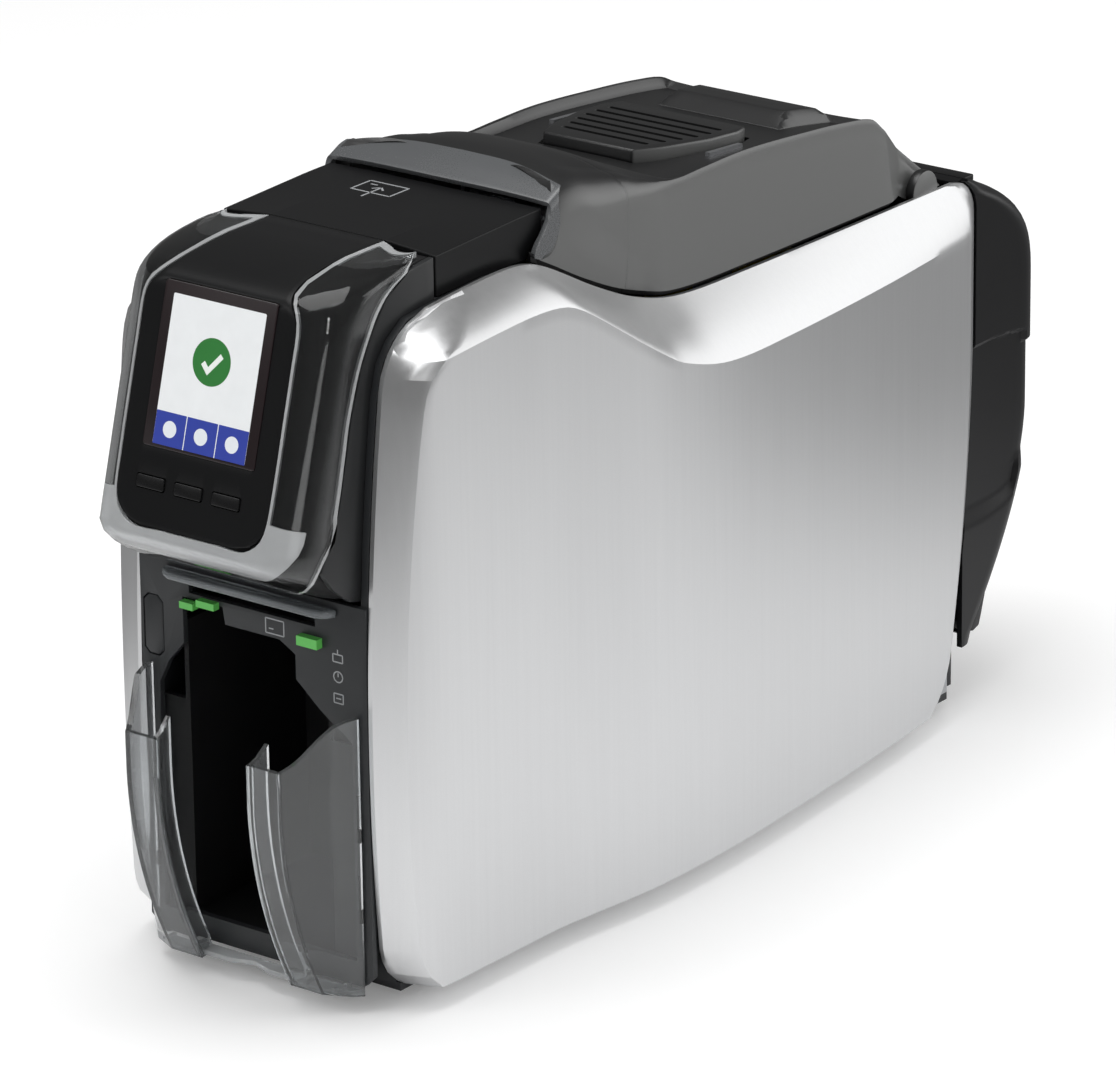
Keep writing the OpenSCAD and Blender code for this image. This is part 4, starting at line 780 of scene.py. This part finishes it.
# %% Display
def gloss(name, colour, light=0.0):
    """A printed or lit area behind glass. Returns the finish's name."""
    finish = Finish(name, Coat_Weight=1.0, Coat_Roughness=0.05, Emission_Strength=light)
    tone = finish.blend(shade(colour, 0.93), shade(colour, 1.0), finish.noise(6, 2))
    finish.drive("Base Color", tone)
    finish.drive("Emission Color", tone)
    finish.drive("Roughness", finish.noise(3, 2) * 0.1 + 0.3)
    return name


def face_prism(name, outline, low, high, edge=0.0):
    return prism(name, outline, high - low, lambda u, v, w: on_face(u, v, w + low), edge)


glass = face_prism("display_pane", moved(rounded(GLASS_W, GLASS_H, 1.2), 0, GLASS_UP), -1.2, 0.15, 0.25)
fit(glass, gloss("glass_border", (0.010, 0.002, 0.0035)), "gloss_black", "frame", "display_glass")
SCREEN_W, SCREEN_H, BAR_H = 40.4, 51.6, 11.5
picture = face_prism("display_picture", rounded(SCREEN_W, SCREEN_H, 0.6), -2.4, 0.18)
fit(picture, gloss("picture_white", (0.84, 0.86, 0.87), 0.12), "screen", "frame", "lcd_panel")
KEY_X, KEY_W, KEY_UP = (-13.6, 0, 13.6), (13.1, 13.3, 13.1), (BAR_H - SCREEN_H) / 2
keys = [face_prism("key", moved(rounded(w, BAR_H, 0.2), x, KEY_UP), 0.1, 0.22) for x, w in zip(KEY_X, KEY_W)]
fit(join("display_keys", keys), gloss("picture_blue", (0.025, 0.05, 0.36), 0.10), "screen", "frame")
dots = [face_prism("dot", moved(ring(2.9, 28), x, KEY_UP), 0.1, 0.25) for x in KEY_X]
fit(join("display_key_dots", dots), gloss("picture_mark", (0.80, 0.84, 0.88), 0.1), "screen", "frame")
disc = face_prism("display_disc", moved(ring(8.2, 48), 0, 5.6), 0.1, 0.22)
fit(disc, gloss("picture_green", (0.025, 0.20, 0.035), 0.08), "screen", "frame")
stroke = moved([(-4.3, -0.2), (-2.9, 1.2), (-1.2, -0.7), (3.4, 4.6), (4.8, 3.3), (-1.2, -3.5)], 0, 4.4)
tick = face_prism("display_tick", stroke, 0.1, 0.27)
fit(tick, gloss("picture_tick", (0.86, 0.9, 0.86), 0.1), "screen", "frame")

# %% [markdown]
# The three keys below the glass are short moulded bars. Each sits in its own opening and moves on
# its own joint, so each is a piece of its own, with a soft edge all round.

# %% Buttons
for x, name in zip(BUTTON_X, ("left", "center", "right")):
    outline = moved(rounded(BUTTON_W, BUTTON_H, 0.7), x, BUTTON_UP)
    key = face_prism("button_key_" + name, outline, -6, 0.4, 0.3)
    fit(key, "button_black", "button_black", "button_" + name, "button_" + name)

# %% [markdown]
# The roof behind the head is a separate black panel, flat in the middle with a shallow facet down
# to each side. It carries a thin printed picture: a card, and an arrow that shows how it goes in.

# %% Roof panel
ROOF_FLAT, ROOF_Y0, ROOF_Y1 = 25.0, 45.4, 104.5


def roof_place(u, v):
    """u: the flat middle to 1, the facet to 2 and the side wall to 3, either way."""
    side, k = math.copysign(1, u), abs(u)
    facet, low = unit(k - 1), lerp(262.3, 264.2, unit((v - 32) / 60))
    x = lerp(ROOF_FLAT * min(1, k), HEAD_X, facet)
    return side * x, v, lerp(lerp(HEAD_TOP, low, facet), 248, unit(k - 2))


roof = sheet("roof_panel", spread(-3, 3, 12), spread(ROOF_Y0, ROOF_Y1, 8), roof_place)
moulded(roof, 2.2, 0.4, 25, 3)
fit(roof, "satin_black", "gloss_black", "frame", "top_panel")

plastic("printed_grey", (0.34, 0.35, 0.36), 0.5, 0.8, 0.004)


def line_print(name, lines, width, put):
    """Thin printed lines through points (u, v). put(u, v, w) places them, w above the surface."""
    bars = []
    for points in lines:
        for (u0, v0), (u1, v1) in zip(points, points[1:]):
            length = math.hypot(u1 - u0, v1 - v0)
            du, dv = (v1 - v0) / length * width / 2, (u0 - u1) / length * width / 2
            outline = [(u0 + du, v0 + dv), (u1 + du, v1 + dv), (u1 - du, v1 - dv), (u0 - du, v0 - dv)]
            bars.append(prism(name, outline, 0.12, put))
    return fit(join(name, bars), "printed_grey", "gloss_black", "frame")


def square(u0, v0, u1, v1):
    return [(u0, v0), (u1, v0), (u1, v1), (u0, v1), (u0, v0)]


ROOF_LINES = [square(-21, 84, -4, 95), [(-12.5, 79), (-12.5, 90.5)], [(-15, 88), (-12.5, 90.5), (-10, 88)],
              [(-18.5, 92), (-15.5, 92)]]
line_print("roof_mark", ROOF_LINES, 0.7, lambda u, v, w: (u, v, HEAD_TOP - 0.05 + w))

# %% [markdown]
# The printed marks of the front are plain signs that any such machine could have: a card beside
# the output slot and three small lamps' signs under it.

# %% Marks on the front
FRONT_LINES = [square(6.2, 132.4, 14.2, 137.8), [(7.6, 134.2), (9.6, 134.2)],
               square(35.6, 128.4, 39.8, 131.2), [(37.7, 131.2), (37.7, 133)],
               moved(ring(2.0, 10) + [(2.0, 0)], 37.7, 123), [(37.7, 123), (37.7, 124.4)],
               square(35.7, 113.4, 39.7, 116.8), [(36.6, 115.1), (38.8, 115.1)]]
line_print("front_marks", FRONT_LINES, 0.45, lambda u, v, w: (u, -0.93 - w, v))

# %% [markdown]
# The hopper hangs in front of the bezel. It is one clear moulding: two wrapped arms with a gap
# for a thumb between them, and a floor. Its walls are grey film to the eye. Every cut edge, the
# floor and its ribs take a paler clear finish: a painted highlight, so the edges are bright lines.

# %% Output hopper
REACH, LOW, GAP, FRONT_X, BACK_X, FOLD_SHARE = 30, 7, 20, 34, 47, 0.62
FLOOR_Z, FLOOR_BACK, RIB_Z = 7.3, -1.6, 9.2


def hopper_front(z):
    return -REACH + 20.5 * unit((85 - z) / 78) ** 2


def arm_plan(u, z):
    """The wall's path in plan at a height: its inner lip, front face and folded side."""
    f, back = hopper_front(z), -1.9
    points = [(GAP + 1, f + min(9, back - f - 1)), (GAP, f), (FRONT_X, f),
              (BACK_X - 3, lerp(f, back, FOLD_SHARE)), (BACK_X, back)]
    k = min(3, int(u))
    return [lerp(points[k][i], points[k + 1][i], u - k) for i in (0, 1)]


def arm_place(u, v):
    top = 96 + 14 * smooth((arm_plan(u, 100)[1] + REACH) / 21)
    z = lerp(LOW, top, v)
    x, y = arm_plan(u, z)
    return x, y, z


arm_us = ([0, 0.5, 0.94, 1, 1.06] + spread(1.2, 1.92, 4) + [2, 2.08] + spread(2.3, 2.94, 4)
          + [3, 3.06, 3.5, 4])
arm = sheet("hopper_arm_right", arm_us, spread(0, 0.85, 26) + [0.92, 1], arm_place)
moulded(arm, 2.0, 0.35, 50, 20, 1)
# the arm's narrow rim faces take the paler clear finish: a painted highlight
fit(arm, ["hopper_film", "clear_rim"], "clear_shell", "output_hopper", "output_hopper")
mirrored(arm, "hopper_arm_left", "output_hopper")

floor_front, rib_front = hopper_front(LOW) + 2.0, hopper_front(RIB_Z) + 2.0
right = [(46.7, FLOOR_BACK), (43.7, lerp(floor_front, FLOOR_BACK, FOLD_SHARE)), (33.6, floor_front),
         (GAP + 0.3, floor_front), (9, -7.6)]
plan = right + [(0, -4.6)] + [(-x, y) for x, y in right[::-1]]
tray = prism("hopper_floor", plan, 2.0, lambda u, v, w: (u, v, FLOOR_Z + w), 0.3)
# the floor and its ribs are all in the paler clear finish: a painted highlight
fit(tray, "clear_rim", "clear_shell", "output_hopper")
strip = [(-0.7, rib_front), (0.7, rib_front), (0.7, FLOOR_BACK), (-0.7, FLOOR_BACK)]
ribs = [prism("rib", moved(strip, x, 0), 1.0, lambda u, v, w: (u, v, RIB_Z + w)) for x in (-38, -26, 26, 38)]
fit(join("hopper_floor_ribs", ribs), "clear_rim", "clear_shell", "output_hopper")

# hooks that drop into the bezel
hooks = [prism("hopper_hook", [(-2.0, z), (1.3, z), (1.3, z + 5), (-2.0, z + 5)], 2.0,
               lambda u, v, w, s=s: (s * (46.2 - w), u, v), 0.25) for z in (34, 64) for s in (1, -1)]
fit(join("hopper_hooks", hooks), "cheek_grey", "clear_shell", "output_hopper")

# %% [markdown]
# The smoky lip over the card slot is a small clear ledge with rounded front corners. The cards
# drop out under it, and it stays in place when the hopper is lifted off.

# %% Slot lip
left_end = [(-38, -1.1), (-38, -2.2), (-36.5, -5), (-32.5, -7)]
lip_plan = left_end + [(-x, y) for x, y in left_end[::-1]]
lip = prism("slot_ledge", lip_plan, 3.0, lambda u, v, w: (u, v, 144.8 + w), 0.9, 3)
fit(lip, "smoky_lip", "slot_lip", "frame", "slot_lip")

# %% [markdown]
# The cover is a long shallow lid. Its sides rise to a crest, the deck between them is sunk, and
# the front part rises to a grey collar. A fold runs down each side from the collar to the rim.
# Its height at any place comes from two lines, one along the middle and one along the crests.

# %% Skin of the cover
TAIL_LINE = [(309, 242.3), (326, 229), (348, 212.5)]
CROWN = [(105, 267), (115, 271.5), (128, 273.3), (140, 272.3), (150, 270), (161, 265.5), (174, 261.5),
         (192, 258.5), (215, 257), (240, 255), (262, 252.8), (285, 250), (300, 247.3)] + TAIL_LINE
CREST = [(105, 266), (116, 270.5), (128, 271.3), (140, 268.5), (153.5, 264.5), (163, 260.5), (173, 257.4),
         (183, 256.2), (196.5, 256.4), (223, 256.4), (261, 253.4), (285, 250.8), (302, 247.6)] + TAIL_LINE
FOLD = [(216, 178), (225.5, 166), (237.6, 151), (249.5, 136), (263, 126), (272, 116)]
HALF, TAIL, CREST_X, DECK_X, DECK_SINK = 51.0, 46.2, 47.3, 43.5, 3.8
SHOULDER_X, SHOULDER_DROP, COLLAR_STEP = 32, 12, 0.9


def cover_half(y):
    return lerp(HALF, TAIL, unit((y - 310) / 14))


def cover_base(y):
    return lerp(rim_z(y) + 2.0, 209.5, unit((y - 318) / 8))


def sink(x, y):
    """How far the deck lies below the crests' surface."""
    start = lerp(156, 177, unit((x - 24) / 23))
    along = smooth((y - start) / 10) * smooth((304 - y) / 6)
    return DECK_SINK * along * smooth((CREST_X - x) / (CREST_X - DECK_X))


def cover_place(k, y, collar=0.0):
    """k: the deck to 1, the round of the crest to 2, the side down to 3, then the curled-in foot."""
    side, k = math.copysign(1, k), abs(k)
    width, c, e = cover_half(y) / HALF, curve(CROWN, y), curve(CREST, y)
    soft = (1 - collar) * (1 - smooth((y - 130) / 50))
    crest_x, step = lerp(CREST_X, SHOULDER_X, soft), COLLAR_STEP * (1 - collar)
    if k <= 1:
        x = crest_x * k
        return side * x * width, y, lerp(c, e, k**3) - sink(x, y) - step
    base = cover_base(y)
    drop = lerp(min(3.2, 0.3 * (e - base)), SHOULDER_DROP, soft)
    top_x = HALF - 1.2 - 1.7 * smooth((y - 150) / 25)
    if k <= 2:
        a = math.pi / 2 * (k - 1)
        x, z = crest_x + (top_x - crest_x) * math.sin(a), e - drop * (1 - math.cos(a)) - step
    else:
        x, z = lerp(top_x, HALF, min(1, k - 2)), lerp(e - drop, base, min(1, k - 2))
    ahead = curve(FOLD, max(FOLD[0][0], min(FOLD[-1][0], z))) - y
    x -= (min(2.4, max(0, ahead) * 0.13) + 0.5) * (1 - collar) * smooth((170 - y) / 12)
    if k > 3:
        x, z = x - 1.7, lerp(base + 0.3, base - 1.7, unit((k - 3.2) * 2))
    return side * x * width, y, z


cover_ks = (spread(0, 0.88, 12) + [0.92, 0.95, 0.98, 1] + spread(1.2, 2, 5) + spread(2.12, 2.9, 8)
            + [3, 3.2, 3.7])
cover_ks = [-k for k in cover_ks[:0:-1]] + cover_ks


def cover_skin(name, ys, place, finishes, band_rows=0):
    """A skin of the cover. Its first rows can be a band, and its curled-in foot always takes the near-black
    finish, a painted shade in the groove at the rim.
    """
    piece = sheet(name, cover_ks, ys, place)
    for finish in finishes:
        piece.data.materials.append(FINISHES[finish])
    columns = len(cover_ks) - 1
    for face in piece.data.polygons:
        row, column = divmod(face.index, columns)
        # painted shade: the curled-in foot is near-black, darker than the cover's paler sides
        in_foot = column < 2 or column > columns - 3
        face.material_index = 1 if in_foot else 2 if row < band_rows else 0
    return moulded(piece, 2.0, 0.35, 50, 24)


# %% [markdown]
# The collar is the lid's front band. Its rear edge is a step that catches the light. The band
# narrows down the side to a point at the rim, so both its edges are lines over the section.

# %% Collar
COLLAR_FRONT = [(0, 105.4), (2, 105.4), (2.3, 102), (2.65, 97), (3, 94.5), (3.7, 94.5)]
COLLAR_REAR = [(0, 121), (0.5, 120), (1, 114.5), (1.5, 111), (2, 110), (2.3, 110.2), (2.65, 106), (3, 98),
               (3.7, 98)]


def collar_place(k, s):
    """s from 0 to 1 crosses the band, and from 1 to 2 the darker slope behind it."""
    front, rear = curve(COLLAR_FRONT, abs(k)), curve(COLLAR_REAR, abs(k))
    if s <= 1:
        return cover_place(k, lerp(front, rear, s), 1.0)
    return cover_place(k, lerp(rear, 150.3, (s - 1) ** 1.5), 1 - smooth((s - 1) / 0.16))


collar_rows = spread(0, 1, 9) + [1.05, 1.1, 1.16] + spread(1.22, 2, 16)
collar = cover_skin("cover_collar_band", collar_rows, collar_place,
                    ["cover_black", "well_black", "collar_grey"], 10)
fit(collar, [], "collar_grey", "cover", "cover_collar")

# %% [markdown]
# The lid itself has an opening for the release pad, cut with the pad's own outline and a gap.

# %% Lid
PAD_Y, PAD_LENGTH, PAD_TILT, PAD_DROP = 192, 58, math.radians(4.378), 3.0
PAD_SIDE = [(20, 0), (25, 12), (30, 34), (30.5, 50), (28, PAD_LENGTH)]
PAD = [(-20, 0)] + PAD_SIDE + [(-x, y) for x, y in PAD_SIDE[:0:-1]]


def on_lid(u, v, w):
    """A place on the lid's deck: v back from the pad's front edge, w above it."""
    z0 = curve(CROWN, PAD_Y) - PAD_DROP
    return (u, PAD_Y + v * math.cos(PAD_TILT) + w * math.sin(PAD_TILT),
            z0 - v * math.sin(PAD_TILT) + w * math.cos(PAD_TILT))


def grown(outline, gap):
    """The pad's outline with a gap all round."""
    return [(x + math.copysign(gap, x), y + math.copysign(gap, y - PAD_LENGTH / 2)) for x, y in outline]


lid_rows = spread(149.7, 192, 28) + spread(196, 296, 24) + spread(299, 347.8, 26)
lid = cover_skin("cover_lid", lid_rows, cover_place, ["cover_black", "well_black"])
cut(lid, prism("cut", grown(PAD, 1.2), 24, lambda u, v, w: on_lid(u, v, w - 14)))
smooth_shade(lid, 24)
fit(lid, [], "cover_black", "cover", "top_cover")

# %% [markdown]
# The release pad is ribbed so that a thumb finds it. A frame runs round it, and the grooves
# between the ribs are cut across it.

# %% Release pad
pad = prism("release_pad", PAD, 6.6, lambda u, v, w: on_lid(u, v, w - 3.8), 1.1, 3)
for k in range(6):
    v = 10.5 + 7.2 * k
    half_w = curve([(0, 20), (34, 30), (58, 28)], v) - 4.2
    outline = moved(rounded(2 * half_w, 2.6, 1.2, 3), 0, v)
    cut(pad, prism("cut", outline, 4, lambda u, v, w: on_lid(u, v, w + 1.4)))
smooth_shade(pad, 30)
fit(pad, "cover_black", "cover_black", "release_pad", "cover_release_pad")

# %% [markdown]
# Behind the pad a raised cap covers the rear of the lid's frame. Its front is a sloping facet
# that catches the light.

# %% Rear cap of the cover
CAP_Y0, CAP_Y1, CAP_X = 270.5, 301.0, 31.0


def cap_place(u, v):
    y = lerp(CAP_Y0, CAP_Y1, v)
    rise = 5.2 * min(unit((1 - abs(u)) / 0.14), unit(v / 0.3), unit((1 - v) / 0.14) ** 0.5)
    return u * lerp(CAP_X - 3, CAP_X, v), y, curve(CROWN, y) - DECK_SINK * smooth((304 - y) / 6) + rise - 0.7


cap = sheet("cover_cap", [-1, -0.92, -0.84] + spread(-0.7, 0.7, 8) + [0.84, 0.92, 1],
            [0, 0.1, 0.2, 0.3, 0.4, 0.6, 0.8, 0.88, 0.94, 1], cap_place)
moulded(cap, 1.4, 0.4, 25, 18)
fit(cap, "cover_black", "cover_black", "cover", "cover_rear_cap")

# %% [markdown]
# A round black cap hides each steel hinge lug, as it would on a machine that stands in an office.

# %% Hinge caps
cap_round = moved(ring(8.0, 28), 332, 212)
caps = [prism("hinge_cap", cap_round, 4.0, lambda u, v, w, s=s: (s * (46.9 + w), u, v), 0.8) for s in (1, -1)]
fit(join("hinge_lug_caps", caps), "cover_black", "cover_black", "frame")

# %% [markdown]
# The rear hood is one deep black moulding. A long hand hold is pressed into it, with a ledge
# above and a slanting facet below.

# %% Rear hood
HOOD_X, HOOD_LOW, HOOD_TOP, HOOD_ROUND, HOLD_DEPTH = 53.0, 24, 210, 13, 1.7
LEDGE = [(355, 143.2), (374, 143.2), (392, 142), (401, 139.4), (411, 135.6)]
FACET_TOP = [(355, 78.8), (374, 78.8), (387, 80.5), (398, 87), (404, 91), (411, 95.5)]
FACET_LOW = [(355, 71.6), (370, 71.6), (387, 75), (398, 81), (409, 89)]


def hood_back(z):
    return 409 - 50 * unit((z - 160) / 50) ** 3 - 44 * unit((110 - z) / 88) ** 1.7


def hold(y, z):
    """The depth of the hand hold, from 0 to 1."""
    above = unit((curve(LEDGE, min(411, y)) - z) / 1.2)
    low, top = curve(FACET_LOW, min(409, y)), curve(FACET_TOP, min(411, y))
    return min(above, unit((z - low) / (top - low)))


def hood_place(u, z):
    """u from -3 to 3: 3 is the right front edge, 1 to 2 the rear corner, 0 the middle of the back."""
    side, k = math.copysign(1, u), abs(u)
    b, f = hood_back(z), max(panel_back(z) + 0.8, 355)
    r = max(1, min(HOOD_ROUND, b - f - 1))
    deep = HOLD_DEPTH * hold(b if k < 2 else lerp(b - r, f, k - 2), z)
    if k >= 2:
        return side * (HOOD_X - deep), lerp(b - r, f, k - 2), z
    a = math.pi / 2 * unit(k - 1)
    x = HOOD_X - r + r * math.sin(a) if k > 1 else (HOOD_X - r) * k
    return side * (x - deep * math.sin(a)), b - r + r * math.cos(a) - deep * math.cos(a), z


hood_us = spread(0, 1, 6) + spread(1.12, 2, 8) + spread(2.1, 3, 9)
hood_us = hood_us[:0:-1] + [-u for u in hood_us]
hood_zs = (spread(HOOD_LOW, 66, 10) + spread(68.5, 100, 24) + spread(104, 133, 8) + spread(134.5, 145, 16)
           + spread(148, 190, 10) + spread(193, HOOD_TOP, 8))
hood = sheet("rear_hood_skin", hood_us, hood_zs, hood_place)
moulded(hood, 2.3, 0.4, 50, 20)
fit(hood, "hood_black", "hood_black", "hood", "rear_hood")
roof_y = hood_back(HOOD_TOP - 3) - 1
hood_roof = prism("rear_hood_roof", [(-49, 353.5), (49, 353.5), (49, roof_y), (-49, roof_y)], 2.6,
                  lambda u, v, w: (u, v, 207.1 + w), 0.5)
fit(hood_roof, "hood_black", "hood_black", "hood")
arm_side = [(358.5, 33), (360, 29), (364, 27.8), (368, 29), (369.5, 33), (374, 47), (366, 47)]
arms = [prism("hood_arm", arm_side, 6, lambda u, v, w, s=s: (s * (46.2 + w), u, v), 0.5) for s in (1, -1)]
fit(join("rear_hood_arms", arms), "hood_black", "hood_black", "hood")

# %% [markdown]
# The bezel, tray, bulkhead and the other moulded frame parts keep their CAD shapes. Each gets a
# copy with softened edges, because no moulded or folded edge is ever razor sharp.

# %% Soften the CAD mouldings


def soften(node, edge, finish, slot, body, angle=35):
    """A copy of a CAD node with bevelled edges that stands for the node."""
    deselect()
    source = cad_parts[node]
    piece = source.copy()
    piece.data = source.data.copy()
    piece.data.materials.clear()
    piece.parent = None
    piece.matrix_world = Matrix.Identity(4)
    piece.name = piece.data.name = node + "_moulding"
    bpy.context.collection.objects.link(piece)
    for key in list(piece.keys()):
        del piece[key]
    activate(piece)
    bpy.ops.object.mode_set(mode="EDIT")
    bpy.ops.mesh.select_all(action="SELECT")
    bpy.ops.mesh.remove_doubles(threshold=0.005 * MM)
    bpy.ops.mesh.dissolve_limited(angle_limit=math.radians(0.5))
    bpy.ops.object.mode_set(mode="OBJECT")
    round_edges(piece, edge, 2, angle)
    smooth_shade(piece, angle)
    return fit(piece, finish, slot, body, node)


soften("front_bezel", 0.5, "bezel_grey", "black_casing", "frame")
soften("power_button", 0.7, "bezel_grey", "button_black", "power_button")
for node, edge in [("base_tray", 0.6), ("input_well", 0.5), ("card_rails", 0.3), ("rear_bulkhead", 0.5),
                   ("fan_frame", 0.4), ("ribbon_frame", 0.4)]:
    soften(node, edge, "black_casing", "black_casing", "frame")

# %% [markdown]
# The mechanism keeps its CAD nodes as they are, and takes real finishes: brushed steel, brass,
# rubber, film and a circuit board.

# %% Finishes of the carried-over nodes
CARRIED = {
    "well_black": ["hopper_well"], "black_casing": ["card_weight", "print_head", "fan_rotor"],
    "feet_rubber": ["rubber_feet"], "light_guide": ["light_guides"],
    "plate_steel": ["chassis_right", "chassis_left", "tie_bars", "latch_hook", "print_head_bracket",
                    "usb_port", "network_port"],
    "pin_steel": ["hinge_pins", "hood_pins", "screws", "exit_pinch_roller", "entry_pinch_roller"],
    "roller_rubber": ["platen_roller", "exit_roller", "entry_roller", "pick_roller"],
    "cleaning_rubber": ["cleaning_roller"], "bush_brass": ["bushes", "motor_pinion", "ribbon_pinion"],
    "belt_rubber": ["drive_belts"], "motor_case": ["feed_motor", "ribbon_motor"],
    "circuit": ["display_board", "main_board"], "ribbon_yellow": ["ribbon_supply_spool"],
    "ribbon_dark": ["ribbon_takeup_spool", "ribbon_film"], "inlet_black": ["power_inlet"],
}
for finish, nodes in CARRIED.items():
    for node in nodes:
        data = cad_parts[node].data
        data.materials.clear()
        data.materials.append(FINISHES[finish])
carried = sum(CARRIED.values(), [])
left_out = [node for node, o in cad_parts.items() if not o.hide_render and node not in carried]
print("carried over:", len(carried), "without a finish:", left_out)
